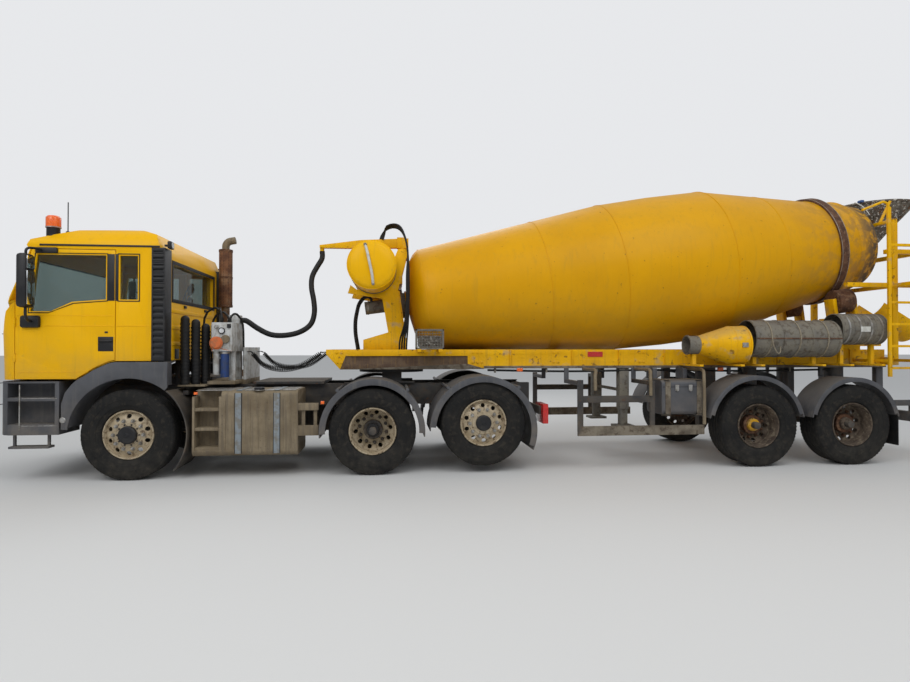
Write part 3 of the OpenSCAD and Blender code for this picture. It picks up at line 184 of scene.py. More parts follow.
def smooth(piece, angle=35.0):
    pick(piece)
    bpy.ops.object.shade_smooth_by_angle(angle=math.radians(angle))
    return piece


def paint_with(piece, name):
    """Gives a piece one finish."""
    piece.data.materials.clear()
    piece.data.materials.append(finish(name))
    return piece


def box(low, high, width=None, segments=2):
    """Block between two corners, with rounded edges."""
    low, high = Vector(low), Vector(high)
    deselect()
    bpy.ops.mesh.primitive_cube_add(size=1, location=(low + high) / 2, scale=high - low)
    piece = settle(bpy.context.object)
    width = settings().edge_round if width is None else width
    return rounded(piece, min(width, 0.45 * min(high - low)), segments) if width else piece


def drawn(corners):
    """Flat face through corners in order."""
    deselect()
    bpy.ops.mesh.primitive_circle_add(vertices=len(corners), radius=0.1, fill_type="NGON")
    piece = bpy.context.object
    for vertex, corner in zip(piece.data.vertices, corners):
        vertex.co = corner
    return piece


def plate(corners, depth):
    """Flat outline extruded by a vector."""
    piece = drawn(corners)
    bpy.ops.object.mode_set(mode="EDIT")
    bpy.ops.mesh.select_all(action="SELECT")
    bpy.ops.mesh.extrude_region_move(TRANSFORM_OT_translate={"value": Vector(depth)})
    bpy.ops.mesh.select_all(action="SELECT")
    bpy.ops.mesh.normals_make_consistent(inside=False)
    bpy.ops.object.mode_set(mode="OBJECT")
    return piece


def side_plate(outline, y0, y1):
    """Outline of stations and heights, thickened across the vehicle."""
    return plate([spot(x, y0, z) for x, z in outline], (0, y1 - y0, 0))


def spun(profile, centre, axis, steps, closed=True):
    """Profile of (along, radius) pairs spun about an axis."""
    axis = Vector(axis).normalized()
    out = axis.orthogonal().normalized()
    deselect()
    bpy.ops.mesh.primitive_circle_add(vertices=len(profile), radius=0.1, fill_type="NOTHING")
    piece = bpy.context.object
    for vertex, (along, radius) in zip(piece.data.vertices, profile):
        vertex.co = Vector(centre) + axis * along + out * radius
    last = len(profile) - 1
    for edge in piece.data.edges:
        edge.select = set(edge.vertices) == {0, last}
    for vertex in piece.data.vertices:
        vertex.select = vertex.index in (0, last)
    bpy.ops.object.mode_set(mode="EDIT")
    if not closed:
        bpy.ops.mesh.select_mode(type="EDGE")
        bpy.ops.mesh.delete(type="EDGE")
        bpy.ops.mesh.select_mode(type="VERT")
    bpy.ops.mesh.select_all(action="SELECT")
    bpy.ops.mesh.spin(steps=steps, angle=math.tau, center=centre, axis=axis)
    bpy.ops.mesh.select_all(action="SELECT")
    bpy.ops.mesh.remove_doubles(threshold=0.00005)
    bpy.ops.mesh.normals_make_consistent(inside=False)
    bpy.ops.object.mode_set(mode="OBJECT")
    return smooth(piece, 30.0)


def rod(start, end, radius, sides=16, width=0.0):
    """Round bar between two points."""
    start, end = Vector(start), Vector(end)
    run = end - start
    deselect()
    bpy.ops.mesh.primitive_cylinder_add(vertices=sides, radius=radius, depth=run.length,
                                        location=(start + end) / 2,
                                        rotation=run.to_track_quat("Z", "Y").to_euler())
    piece = settle(bpy.context.object)
    return rounded(piece, width) if width else piece


def tube(points, radius, sides=8, bend=True, turns=4):
    """Hose or bent bar along points: rounded through them, or straight between them."""
    deselect()
    data = bpy.data.curves.new("route", "CURVE")
    data.dimensions = "3D"
    data.bevel_depth = radius
    data.bevel_resolution = max(0, sides // 2 - 2)
    data.use_fill_caps = True
    data.resolution_u = turns
    spline = data.splines.new("BEZIER" if bend else "POLY")
    if bend:
        spline.bezier_points.add(len(points) - 1)
        for knot, point in zip(spline.bezier_points, points):
            knot.co = point
            knot.handle_left_type = knot.handle_right_type = "AUTO"
    else:
        spline.points.add(len(points) - 1)
        for knot, point in zip(spline.points, points):
            knot.co = (*point, 1.0)
    piece = bpy.data.objects.new("route", data)
    bpy.context.collection.objects.link(piece)
    pick(piece)
    bpy.ops.object.convert(target="MESH")
    return bpy.context.object


def copies(piece, matrices):
    """One copy of a piece for each matrix, and the pattern itself removed."""
    made = []
    for matrix in matrices:
        copy = piece.copy()
        copy.data = piece.data.copy()
        copy.data.transform(matrix)
        bpy.context.collection.objects.link(copy)
        made.append(copy)
    bpy.data.objects.remove(piece)
    return made


def both(make):
    """The pieces that a function makes for each side."""
    return [make(side) for side in SIDES]


def flat(pieces):
    """Pieces in nested lists, as one list."""
    found = []
    for piece in pieces:
        found += flat(piece) if isinstance(piece, (list, tuple)) else [piece]
    return found


def cut(piece, cutters):
    """Cuts shapes out of a piece."""
    for cutter in flat([cutters]):
        use(piece, "BOOLEAN", operation="DIFFERENCE", solver="EXACT", object=cutter)
        bpy.data.objects.remove(cutter)
    return piece


def joined(name, pieces, angle=35.0):
    pieces = flat(pieces)
    deselect()
    for piece in pieces:
        piece.select_set(True)
    bpy.context.view_layer.objects.active = pieces[0]
    if len(pieces) > 1:
        bpy.ops.object.join()
    whole = bpy.context.object
    whole.name = whole.data.name = name
    return smooth(whole, angle) if angle else whole


def fitted(name, pieces, body, slot=None, replaces=(), angle=35.0):
    """Pieces joined under one name, riding on a body."""
    whole = joined(name, pieces, angle)
    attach(whole, body)
    if replaces:
        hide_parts(*replaces)
    return whole


def body_of_node(node):
    return frame["nodes"][node].parent.name.split(":", 1)[1]


def repainted(piece, name, low, high):
    """Gives faces whose middle lies between two corners another finish."""
    piece.data.materials.append(finish(name))
    low, high = spot(*low), spot(*high)
    for face in piece.data.polygons:
        if all(a <= c <= b for a, c, b in zip(low, face.center, high)):
            face.material_index = len(piece.data.materials) - 1
    return piece


def copied(node, name, width):
    """Copy of a frame node with merged faces and rounded edges."""
    copy = bpy.data.objects.new(node + "_copy", frame["nodes"][node].data.copy())
    bpy.context.collection.objects.link(copy)
    pick(copy)
    bpy.ops.mesh.customdata_custom_splitnormals_clear()
    bpy.ops.object.mode_set(mode="EDIT")
    bpy.ops.mesh.select_all(action="SELECT")
    bpy.ops.mesh.remove_doubles(threshold=0.00002)
    bpy.ops.mesh.tris_convert_to_quads(face_threshold=math.radians(0.5), shape_threshold=math.pi)
    bpy.ops.object.mode_set(mode="OBJECT")
    if width:
        bpy.ops.mesh.separate(type="LOOSE")
        parts = list(bpy.context.selected_objects)
        for part in parts:
            use(part, "BEVEL", width=width, segments=2, limit_method="ANGLE",
                angle_limit=math.radians(35), use_clamp_overlap=True, miter_outer="MITER_ARC")
        copy = joined(node + "_copy", parts)
    return paint_with(smooth(copy), name)


def dressed(node, name, slot, width, extras=(), patches=()):
    """A frame node's rounded copy, joined with its fittings, in its place.

    patches lists (finish, low corner, high corner) for faces that differ.
    """
    whole = copied(node, name, width)
    for patch in patches:
        repainted(whole, *patch)
    return fitted(node + "_dress", [whole, extras], body_of_node(node), slot, (node,), angle=0)


# Finishes

class Finish:
    """A material whose colour, roughness and bump are layered from noise, height and slope."""

    def __init__(self, name, colour, roughness, sockets):
        self.material = bpy.data.materials.new(name)
        self.material.use_nodes = True
        self.tree = self.material.node_tree
        self.shader = self.tree.nodes["Principled BSDF"]
        self.shader.inputs["Roughness"].default_value = roughness
        self.shader.inputs["Base Color"].default_value = (*colour, 1.0)
        for key, value in sockets.items():
            self.shader.inputs[key].default_value = value
        self.places = self.node("ShaderNodeTexCoord").outputs["Object"]
        self.colour = (*colour, 1.0)
        self.roughness = roughness
        self.normal = None

    def node(self, kind, **values):
        made = self.tree.nodes.new(kind)
        for key, value in values.items():
            setattr(made, key, value)
        return made

    def link(self, value, socket):
        if isinstance(value, bpy.types.NodeSocket):
            self.tree.links.new(value, socket)
        else:
            socket.default_value = value

    def times(self, first, second):
        made = self.node("ShaderNodeMath", operation="MULTIPLY", use_clamp=True)
        self.link(first, made.inputs[0])
        self.link(second, made.inputs[1])
        return made.outputs[0]

    def part(self, vector, letter):
        """One coordinate of a vector."""
        made = self.node("ShaderNodeSeparateXYZ")
        self.link(vector, made.inputs[0])
        return made.outputs[letter]

    def fade(self, value, start, end):
        """0 at start and 1 at end."""
        made = self.node("ShaderNodeMapRange", interpolation_type="SMOOTHSTEP")
        self.link(value, made.inputs["Value"])
        made.inputs["From Min"].default_value = min(start, end)
        made.inputs["From Max"].default_value = max(start, end)
        if end < start:
            made.inputs["To Min"].default_value = 1.0
            made.inputs["To Max"].default_value = 0.0
        return made.outputs["Result"]

    # Masks: 1 where a layer covers the surface

    def texture(self, kind, output, start, end, stretch, shift=(0, 0, 0), **inputs):
        mapping = self.node("ShaderNodeMapping")
        mapping.inputs["Scale"].default_value = stretch
        mapping.inputs["Location"].default_value = shift
        self.link(self.places, mapping.inputs["Vector"])
        made = self.node(kind)
        for key, value in inputs.items():
            made.inputs[key].default_value = value
        self.link(mapping.outputs[0], made.inputs["Vector"])
        return self.fade(made.outputs[output], start, end)

    def noise(self, scale, start, end, detail=6.0, stretch=(1, 1, 1), shift=(0, 0, 0)):
        """Scattered patches."""
        return self.texture("ShaderNodeTexNoise", "Fac", start, end, stretch, shift,
                            Scale=scale, Detail=detail, Roughness=0.6)

    def cells(self, scale, start, end):
        """Rows of round spots."""
        return self.texture("ShaderNodeTexVoronoi", "Distance", start, end, (1, 1, 1),
                            Scale=scale, Randomness=0.0)

    def runs(self, scale, start, end):
        """Marks that hang down the sides."""
        return self.noise(scale, start, end, stretch=(9, 9, 0.5))

    def upward(self):
        """What faces up."""
        normal = self.node("ShaderNodeNewGeometry").outputs["Normal"]
        return self.fade(self.part(normal, "Z"), 0.3, 0.8)

    def settled(self, low, high, scale):
        """Patches that thicken downwards from a height."""
        return self.times(self.fade(self.part(self.places, "Z"), high, low), self.noise(scale, 0.25, 0.75))

    def rearward(self, front, rear, scale, start, end):
        """Patches that thicken towards the rear."""
        return self.times(self.fade(self.part(self.places, "X"), front, rear), self.noise(scale, start, end))

    def layer(self, mask, colour, roughness, amount, *values):
        """Lays a colour over the surface where a mask is 1."""
        cover = getattr(self, mask)(*values)
        if amount != 1:
            cover = self.times(cover, amount)
        made = self.node("ShaderNodeMix", data_type="RGBA")
        self.link(cover, made.inputs[0])
        self.link(self.colour, made.inputs[6])
        made.inputs[7].default_value = (*shade(colour), 1.0)
        self.colour = made.outputs[2]
        if roughness is not None:
            rough = self.node("ShaderNodeMix")
            self.link(cover, rough.inputs[0])
            self.link(self.roughness, rough.inputs[2])
            rough.inputs[3].default_value = roughness
            self.roughness = rough.outputs[0]

    def bump(self, depth, strength, *values):
        made = self.node("ShaderNodeBump")
        made.inputs["Distance"].default_value = depth
        made.inputs["Strength"].default_value = strength
        self.link(self.noise(*values), made.inputs["Height"])
        if self.normal is not None:
            self.link(self.normal, made.inputs["Normal"])
        self.normal = made.outputs[0]

    def done(self):
        self.link(self.colour, self.shader.inputs["Base Color"])
        self.link(self.roughness, self.shader.inputs["Roughness"])
        if self.normal is not None:
            self.link(self.normal, self.shader.inputs["Normal"])
        return self.material


# Columns: colour or its setting, roughness, other sockets, layers, bumps.
# A layer lists mask, colour, roughness, amount and the mask's values.
# A bump lists depth, strength and the values of a noise.
FINISHES = {
    "yellow_paint": ("paint", 0.36,
        {"Coat Weight": 0.04, "Coat Roughness": 0.15, "Specular IOR Level": 0.12}, (
        ("noise", (0.86, 0.465, 0.003), None, 1, 1.3, 0.3, 0.75),
        ("runs", (0.52, 0.3, 0.03), 0.6, 0.22, 2.5, 0.5, 0.75),
        ("noise", (0.5, 0.32, 0.06), 0.5, 0.35, 9, 0.62, 0.75),
        ("settled", (0.4, 0.27, 0.08), 0.85, 0.35, 1.1, 1.9, 4.0),
    ), ((0.0004, 1, 60, 0.2, 0.8, 3.0),)),
    # Yellow of the trailer's steelwork, stained with concrete and rust.
    "worn_yellow": ((0.86, 0.47, 0.001), 0.45, {"Specular IOR Level": 0.15}, (
        ("noise", (0.74, 0.38, 0.002), None, 1, 2.2, 0.3, 0.7),
        ("runs", (0.36, 0.2, 0.03), 0.6, 0.35, 3.0, 0.5, 0.75),
        ("noise", (0.13, 0.055, 0.02), 0.8, 0.7, 14, 0.6, 0.68),
        ("noise", (0.36, 0.31, 0.24), 0.9, 0.5, 5, 0.55, 0.68, 6.0, (1, 1, 1), (3, 1, 2)),
        ("upward", (0.34, 0.27, 0.15), 0.9, 0.45),
        ("settled", (0.26, 0.19, 0.09), 0.85, 0.5, 0.9, 1.6, 5.0),
    ), ((0.0012, 1, 45, 0.3, 0.7, 4.0),)),
    "drum_paint": ((0.7, 0.345, 0.001), 0.4,
        {"Coat Weight": 0.04, "Coat Roughness": 0.2, "Specular IOR Level": 0.12}, (
        ("noise", (0.62, 0.3, 0.002), None, 1, 0.9, 0.3, 0.7),
        ("noise", (0.55, 0.3, 0.02), 0.5, 0.4, 1.6, 0.5, 0.8, 6.0, (0.35, 1, 1)),
        ("runs", (0.4, 0.24, 0.03), 0.6, 0.25, 2.0, 0.5, 0.75),
        ("noise", (0.16, 0.07, 0.02), 0.8, 0.6, 22, 0.66, 0.72),
        ("rearward", (0.33, 0.19, 0.06), 0.75, 0.75, 3.4, 5.2, 6, 0.42, 0.62),
        ("rearward", (0.1, 0.08, 0.06), 0.95, 1, 4.75, 5.15, 9, 0.35, 0.55),
        ("settled", (0.26, 0.19, 0.05), 0.85, 0.45, 1.2, 2.3, 3.0),
    ), ((0.01, 0.6, 1.1, 0.2, 0.8, 2.0), (0.0007, 1, 50, 0.3, 0.7, 4.0))),
    "grey_plastic": ("plastic", 0.55, {}, (
        ("noise", (0.085, 0.088, 0.098), 0.62, 1, 3, 0.35, 0.7),
        ("runs", (0.13, 0.125, 0.115), 0.6, 0.45, 3.0, 0.5, 0.75),
        ("upward", (0.14, 0.125, 0.105), 0.8, 0.5),
        ("settled", "dust", 0.85, 0.5, 0.35, 1.15, 6.0),
    ), ((0.0004, 1, 260, 0.3, 0.7, 2.0),)),
    "black_plastic": ((0.01, 0.01, 0.012), 0.42, {"Specular IOR Level": 0.4}, (
        ("noise", (0.032, 0.03, 0.028), 0.7, 0.5, 7, 0.45, 0.7),
    ), ((0.0003, 1, 200, 0.3, 0.7, 2.0),)),
    "black_rubber": ((0.007, 0.007, 0.0075), 0.55, {"Specular IOR Level": 0.35}, (
        ("noise", (0.03, 0.027, 0.022), 0.8, 0.5, 12, 0.45, 0.7),
    ), ((0.0004, 1, 120, 0.3, 0.7, 3.0),)),
    "chassis_black": ((0.022, 0.022, 0.024), 0.5, {}, (
        ("noise", (0.075, 0.062, 0.048), 0.8, 0.7, 5, 0.4, 0.65),
        ("noise", (0.1, 0.04, 0.016), 0.9, 0.6, 17, 0.6, 0.68),
        ("upward", (0.13, 0.105, 0.075), 0.95, 0.6),
        ("settled", "dust", 0.85, 0.5, 0.3, 1.2, 6.0),
    ), ((0.001, 1, 80, 0.3, 0.7, 4.0),)),
    "tyre_rubber": ((0.009, 0.009, 0.009), 0.75, {"Specular IOR Level": 0.25}, (
        ("noise", (0.026, 0.024, 0.021), 0.88, 0.6, 4, 0.35, 0.7),
        ("noise", (0.06, 0.05, 0.038), 0.9, 0.4, 18, 0.5, 0.7),
        ("settled", (0.085, 0.075, 0.06), 0.85, 0.35, 0.0, 0.5, 8.0),
    ), ((0.0012, 1, 90, 0.3, 0.7, 5.0),)),
    "cream_rim": ("rim_paint", 0.5, {}, (
        ("noise", (0.34, 0.265, 0.165), 0.6, 1, 9, 0.35, 0.7),
        ("noise", (0.1, 0.06, 0.032), 0.85, 0.85, 26, 0.52, 0.64),
        ("noise", (0.06, 0.03, 0.014), 0.9, 0.6, 60, 0.6, 0.7),
    ), ((0.0012, 1, 70, 0.3, 0.7, 4.0),)),
    "rusty_rim": ((0.115, 0.085, 0.06), 0.8, {}, (
        ("noise", (0.05, 0.034, 0.024), 0.9, 1, 10, 0.35, 0.65),
        ("noise", (0.23, 0.19, 0.13), 0.9, 0.7, 24, 0.5, 0.66),
    ), ((0.002, 1, 60, 0.3, 0.7, 5.0),)),
    "tank_paint": ((0.25, 0.2, 0.13), 0.6, {"Specular IOR Level": 0.3}, (
        ("noise", (0.16, 0.122, 0.075), 0.75, 1, 4, 0.3, 0.7),
        ("runs", (0.13, 0.105, 0.075), 0.6, 0.7, 3.5, 0.42, 0.66),
        ("noise", (0.07, 0.055, 0.04), 0.85, 0.5, 40, 0.6, 0.7),
        ("upward", (0.22, 0.175, 0.11), 0.9, 0.5),
    ), ((0.0008, 1, 70, 0.3, 0.7, 4.0),)),
    "strap_metal": ((0.27, 0.31, 0.34), 0.4, {"Metallic": 0.6}, (
        ("noise", (0.22, 0.19, 0.145), 0.75, 0.7, 12, 0.4, 0.65),
    ), ((0.0006, 1, 90, 0.3, 0.7),)),
    "bare_metal": ((0.42, 0.41, 0.39), 0.38, {"Metallic": 0.8}, (
        ("noise", (0.17, 0.15, 0.12), 0.75, 0.75, 12, 0.4, 0.65),
    ), ((0.0006, 1, 110, 0.3, 0.7),)),
    # Galvanised and grey-painted steel with dried cement.
    "grey_paint": ((0.145, 0.135, 0.115), 0.66, {"Metallic": 0.1}, (
        ("noise", (0.2, 0.18, 0.14), 0.78, 1, 5, 0.35, 0.65),
        ("noise", (0.085, 0.066, 0.048), 0.85, 0.75, 18, 0.5, 0.66),
        ("noise", (0.11, 0.045, 0.02), 0.9, 0.6, 34, 0.62, 0.7),
    ), ((0.0018, 1, 55, 0.3, 0.7, 5.0),)),
    # Steel under dried concrete, with rust showing between the lumps.
    "cement_crust": ((0.115, 0.095, 0.075), 0.9, {}, (
        ("noise", (0.2, 0.175, 0.14), 0.95, 1, 7, 0.4, 0.6),
        ("noise", (0.15, 0.06, 0.02), 0.9, 1, 16, 0.55, 0.64, 6.0, (1, 1, 1), (2, 5, 1)),
        ("noise", (0.62, 0.59, 0.53), 0.95, 1, 28, 0.565, 0.6, 6.0, (1, 1, 1), (7, 2, 3)),
        ("noise", (0.045, 0.035, 0.028), 0.9, 0.9, 30, 0.66, 0.7),
    ), ((0.018, 1, 18, 0.3, 0.75, 5.0), (0.003, 1, 70, 0.3, 0.7, 5.0))),
    "rust_brown": ((0.13, 0.058, 0.028), 0.85, {}, (
        ("noise", (0.065, 0.03, 0.018), 0.9, 1, 9, 0.35, 0.65),
        ("noise", (0.22, 0.125, 0.07), 0.9, 0.8, 20, 0.5, 0.65),
    ), ((0.0025, 1, 50, 0.3, 0.7, 5.0),)),
    "exhaust_steel": ((0.3, 0.235, 0.17), 0.6, {"Metallic": 0.4}, (
        ("noise", (0.145, 0.08, 0.045), 0.8, 1, 6, 0.3, 0.65),
        ("runs", (0.06, 0.035, 0.022), 0.6, 0.6, 4.0, 0.5, 0.75),
    ), ((0.001, 1, 60, 0.3, 0.7, 4.0),)),
    "window_glass": ((0.5, 0.58, 0.56), 0.02, {"Transmission Weight": 0.97, "IOR": 1.2}, (
        ("noise", (0.4, 0.44, 0.41), 0.06, 0.2, 3, 0.5, 0.9),
    ), ()),
    "mirror_glass": ((0.75, 0.78, 0.8), 0.04, {"Metallic": 1.0}, (), ()),
    "amber_lens": ((0.95, 0.16, 0.008), 0.16, {"Coat Weight": 0.6}, (
        ("noise", (0.8, 0.1, 0.005), None, 1, 30, 0.3, 0.8),
    ), ((0.001, 1, 120, 0.3, 0.7),)),
    "red_lens": ((0.55, 0.012, 0.008), 0.18, {"Coat Weight": 0.6}, (
        ("noise", (0.4, 0.01, 0.008), 0.3, 1, 40, 0.4, 0.7),
    ), ((0.001, 1, 150, 0.3, 0.7),)),
    "clear_lens": ((0.7, 0.72, 0.74), 0.08, {"Coat Weight": 1.0}, (
        ("noise", (0.42, 0.44, 0.46), 0.15, 1, 26, 0.35, 0.7),
    ), ((0.0015, 1, 90, 0.3, 0.7),)),
    "pump_white": ((0.5, 0.51, 0.5), 0.45, {}, (
        ("noise", (0.24, 0.21, 0.17), 0.7, 0.75, 10, 0.4, 0.65),
        ("runs", (0.08, 0.07, 0.06), 0.6, 0.6, 4.0, 0.5, 0.75),
    ), ((0.0008, 1, 70, 0.3, 0.7),)),
    "pump_orange": ((0.62, 0.14, 0.03), 0.5, {}, (
        ("noise", (0.3, 0.13, 0.06), 0.7, 0.75, 14, 0.4, 0.65),
    ), ((0.001, 1, 60, 0.3, 0.7),)),
    "filter_blue": ((0.02, 0.06, 0.22), 0.4, {}, (
        ("noise", (0.05, 0.06, 0.09), 0.7, 0.6, 14, 0.4, 0.65),
    ), ((0.0006, 1, 60, 0.3, 0.7),)),
    "seat_cloth": ((0.035, 0.038, 0.045), 0.9, {"Sheen Weight": 0.3}, (
        ("noise", (0.065, 0.068, 0.078), 0.95, 1, 180, 0.45, 0.55, 1.0),
    ), ((0.0008, 1, 420, 0.3, 0.7, 2.0, (1, 1, 3)),)),
    # Rusty sheet pierced by rows of small dark holes.
    "perforated_rust": ((0.2, 0.085, 0.035), 0.8, {}, (
        ("noise", (0.1, 0.042, 0.022), 0.9, 1, 9, 0.35, 0.65),
        ("noise", (0.33, 0.2, 0.11), 0.8, 0.6, 5, 0.5, 0.7),
        ("cells", (0.012, 0.009, 0.008), 0.9, 1, 42, 0.34, 0.28),
    ), ((0.0015, 1, 50, 0.3, 0.7, 4.0),)),
    "brown_recess": ((0.075, 0.04, 0.022), 0.7, {}, (
        ("noise", (0.16, 0.105, 0.06), 0.85, 0.7, 6, 0.4, 0.65),
        ("runs", (0.3, 0.17, 0.03), 0.6, 0.5, 3.5, 0.5, 0.75),
    ), ((0.001, 1, 60, 0.3, 0.7, 4.0),)),
    "dirty_flange": ((0.2, 0.17, 0.125), 0.8, {}, (
        ("noise", (0.105, 0.085, 0.062), 0.9, 1, 6, 0.35, 0.65),
        ("noise", (0.055, 0.035, 0.022), 0.9, 0.7, 16, 0.5, 0.66),
    ), ((0.0015, 1, 55, 0.3, 0.7, 5.0),)),
    "sight_white": ((0.62, 0.62, 0.58), 0.4, {}, (
        ("noise", (0.34, 0.32, 0.27), 0.6, 0.5, 14, 0.45, 0.65),
    ), ((0.0004, 1, 80, 0.3, 0.7),)),
    "strap_blue": ((0.03, 0.1, 0.32), 0.7, {}, (
        ("noise", (0.08, 0.1, 0.15), 0.85, 0.6, 20, 0.4, 0.65),
    ), ((0.0006, 1, 160, 0.3, 0.7),)),
    "rope_fibre": ((0.3, 0.26, 0.19), 0.9, {}, (
        ("noise", (0.15, 0.12, 0.08), 0.95, 0.7, 60, 0.4, 0.65),
    ), ((0.001, 1, 200, 0.3, 0.7, 2.0),)),
}
MADE = {}


def shade(colour):
    """A colour, given itself or by its setting."""
    return tuple(getattr(settings(), colour)) if isinstance(colour, str) else colour


def finish(name):
    """A finish of the table, made once and shared."""
    if name not in MADE:
        colour, roughness, sockets, layers, bumps = FINISHES[name]
        made = Finish(name, shade(colour), roughness, sockets)
        for layer in layers:
            made.layer(*layer)
        for bump in bumps:
            made.bump(*bump)
        MADE[name] = made.done()
    return MADE[name]


# Stage

CAMERA_PLACE = (3.03, -8.51, 1.53)
CAMERA_YAW, CAMERA_PITCH, CAMERA_LENS = 6.0, 0.67, 23.74
FLOOR_SIZE, FLOOR_SHADE = 240, 0.62
# Studio lamps. Columns: station, side, height, size, power
LAMPS = ((-2.5, -9.0, 8.5, 7.0, 430), (8.0, -7.5, 9.0, 7.0, 330), (3.0, 8.0, 9.0, 8.0, 300))
LAMP_AIM = (4.5, 0, 1.2)


def make_camera():
    deselect()
    bpy.ops.object.camera_add(location=spot(*CAMERA_PLACE),
                              rotation=(math.radians(90 + CAMERA_PITCH), 0, -math.radians(CAMERA_YAW)))
    camera = bpy.context.object
    camera.data.sensor_width = 36
    camera.data.lens = CAMERA_LENS
    camera.data.clip_end = 400
    bpy.context.scene.camera = camera


def make_floor():
    """A pale plain floor that has its own finish."""
    deselect()
    bpy.ops.mesh.primitive_plane_add(size=FLOOR_SIZE, location=ORIGIN)
    floor = bpy.context.object
    floor.name = "floor"
    material = bpy.data.materials.new("pale_floor")
    material.use_nodes = True
    shader = material.node_tree.nodes["Principled BSDF"]
    shader.inputs["Base Color"].default_value = (FLOOR_SHADE, FLOOR_SHADE, FLOOR_SHADE * 0.985, 1)
    shader.inputs["Roughness"].default_value = 0.9
    floor.data.materials.append(material)


def make_world():
    """Soft light that brightens upwards, and a plain pale backdrop for the camera."""
    world = bpy.context.scene.world or bpy.data.worlds.new("studio")
    bpy.context.scene.world = world
    world.use_nodes = True
    tree = world.node_tree
    tree.nodes.clear()
    output, light, shown, choice, path, places, split, ramp = (
        tree.nodes.new("ShaderNode" + kind) for kind in (
            "OutputWorld", "Background", "Background", "MixShader", "LightPath", "TexCoord", "SeparateXYZ",
            "MapRange"))
    for key, value in (("From Min", -0.1), ("From Max", 0.9), ("To Min", 0.34), ("To Max", 0.7)):
        ramp.inputs[key].default_value = value
    light.inputs["Color"].default_value = (0.93, 0.96, 1.0, 1)
    shown.inputs["Color"].default_value = (0.8, 0.81, 0.83, 1)
    for start, end in ((places.outputs["Generated"], split.inputs[0]),
                       (split.outputs["Z"], ramp.inputs["Value"]),
                       (ramp.outputs[0], light.inputs["Strength"]),
                       (path.outputs["Is Camera Ray"], choice.inputs[0]),
                       (light.outputs[0], choice.inputs[1]),
                       (shown.outputs[0], choice.inputs[2]),
                       (choice.outputs[0], output.inputs[0])):
        tree.links.new(start, end)


def make_lights():
    for x, y, z, size, power in LAMPS:
        deselect()
        bpy.ops.object.light_add(type="AREA", location=spot(x, y, z))
        lamp = bpy.context.object
        lamp.data.size = size
        lamp.data.energy = power
        aim = spot(*LAMP_AIM) - lamp.location
        lamp.rotation_euler = aim.to_track_quat("-Z", "Y").to_euler()


class LORRY_OT_stage(bpy.types.Operator):
    """Floor, light and camera"""

    bl_idname = "lorry.stage"
    bl_label = "Stage"

    def execute(self, context):
        make_camera()
        make_world()
        make_lights()
        make_floor()
        return {"FINISHED"}


# Wheels: modelled about the Y axis at the origin with the outer side at -Y, then placed

# Degrees that a wheel is turned for each metre of its station, so that the wheels differ
TURN_PER_METRE = 17
# Nuts and holes of a rim, steps round its barrel and disc, grooves in a tread, and a lug's lean
NUTS, BARREL_STEPS, DISC_STEPS, GROOVES, LUG_LEAN = 10, 64, 60, 4, 28


def tyre_piece(width, lugs):
    """Tyre with sidewall rings, rounded shoulders and grooved tread."""
    half = width / 2
    wall = [(half - 0.045, RIM_R + 0.002), (half - 0.026, RIM_R + 0.014), (half - 0.012, 0.335),
            (half - 0.01, 0.345), (half - 0.005, 0.348), (half - 0.002, 0.385), (half - 0.003, 0.405),
            (half - 0.0005, 0.408), (half - 0.0005, 0.416), (half - 0.003, 0.419), (half - 0.004, 0.452),
            (half - 0.01, 0.478), (half - 0.014, 0.48), (half - 0.018, 0.5), (half - 0.026, 0.511)]
    top = TYRE_R - 0.001
    edge = half - 0.042
    groove = 0.011
    tread = [(edge, top - 0.002)]
    for i in range(GROOVES):
        y = edge - 2 * edge / (GROOVES + 1) * (i + 1)
        tread += [(y + 0.007, top), (y + 0.004, top - groove), (y - 0.004, top - groove), (y - 0.007, top)]
    tread.append((-edge, top - 0.002))
    inner = [(half - 0.06, RIM_R + 0.002), (half - 0.04, 0.36), (half - 0.045, 0.44), (half - 0.08, 0.485)]
    inside = [(-a, r) for a, r in inner] + [(a, r) for a, r in reversed(inner)]
    profile = wall + tread + [(-a, r) for a, r in reversed(wall)] + inside
    piece = spun([(-a, r) for a, r in profile], ORIGIN, Y_AXIS, settings().wheel_steps)
    paint_with(piece, "tyre_rubber")
    lug = box((-0.011, -0.016, top - 0.03), (0.011, 0.016, top - 0.0015), 0.003, 1)
    lug.data.transform(Matrix.Translation((0, -edge - 0.006, top - 0.02))
                       @ Matrix.Rotation(math.radians(LUG_LEAN), 4, "X")
                       @ Matrix.Translation((0, 0, 0.016 - top)))
    paint_with(lug, "tyre_rubber")
    made = copies(lug, [turn @ Matrix.Diagonal((1, side, 1, 1)) for turn in turned(lugs) for side in (1, -1)])
    for one in made[1::2]:
        one.data.flip_normals()
    return [piece] + made


def nuts(radius, y, make, width=None, height=0.03, stud=0.012):
    """Ring of nuts on their studs."""
    width = width or settings().nut_width
    deselect()
    bpy.ops.mesh.primitive_cylinder_add(vertices=6, radius=width / 2, depth=height,
                                        location=(0, y - height / 2, radius), rotation=(math.pi / 2, 0, 0))
    nut = rounded(settle(bpy.context.object), 0.002, 1)
    bolt = rod((0, y - height - 0.001, radius), (0, y - height - stud, radius), width * 0.26, 10, 0.001)
    washer = rod((0, y + 0.002, radius), (0, y - 0.004, radius), width * 0.62, 16)
    whole = paint_with(joined("nut", [nut, bolt, washer]), make)
    return copies(whole, turned(NUTS, 0.5))


def turned(count, start=0):
    """Turns about the wheel's axis, at even steps."""
    return [Matrix.Rotation(math.tau * (i + start) / count, 4, "Y") for i in range(count)]


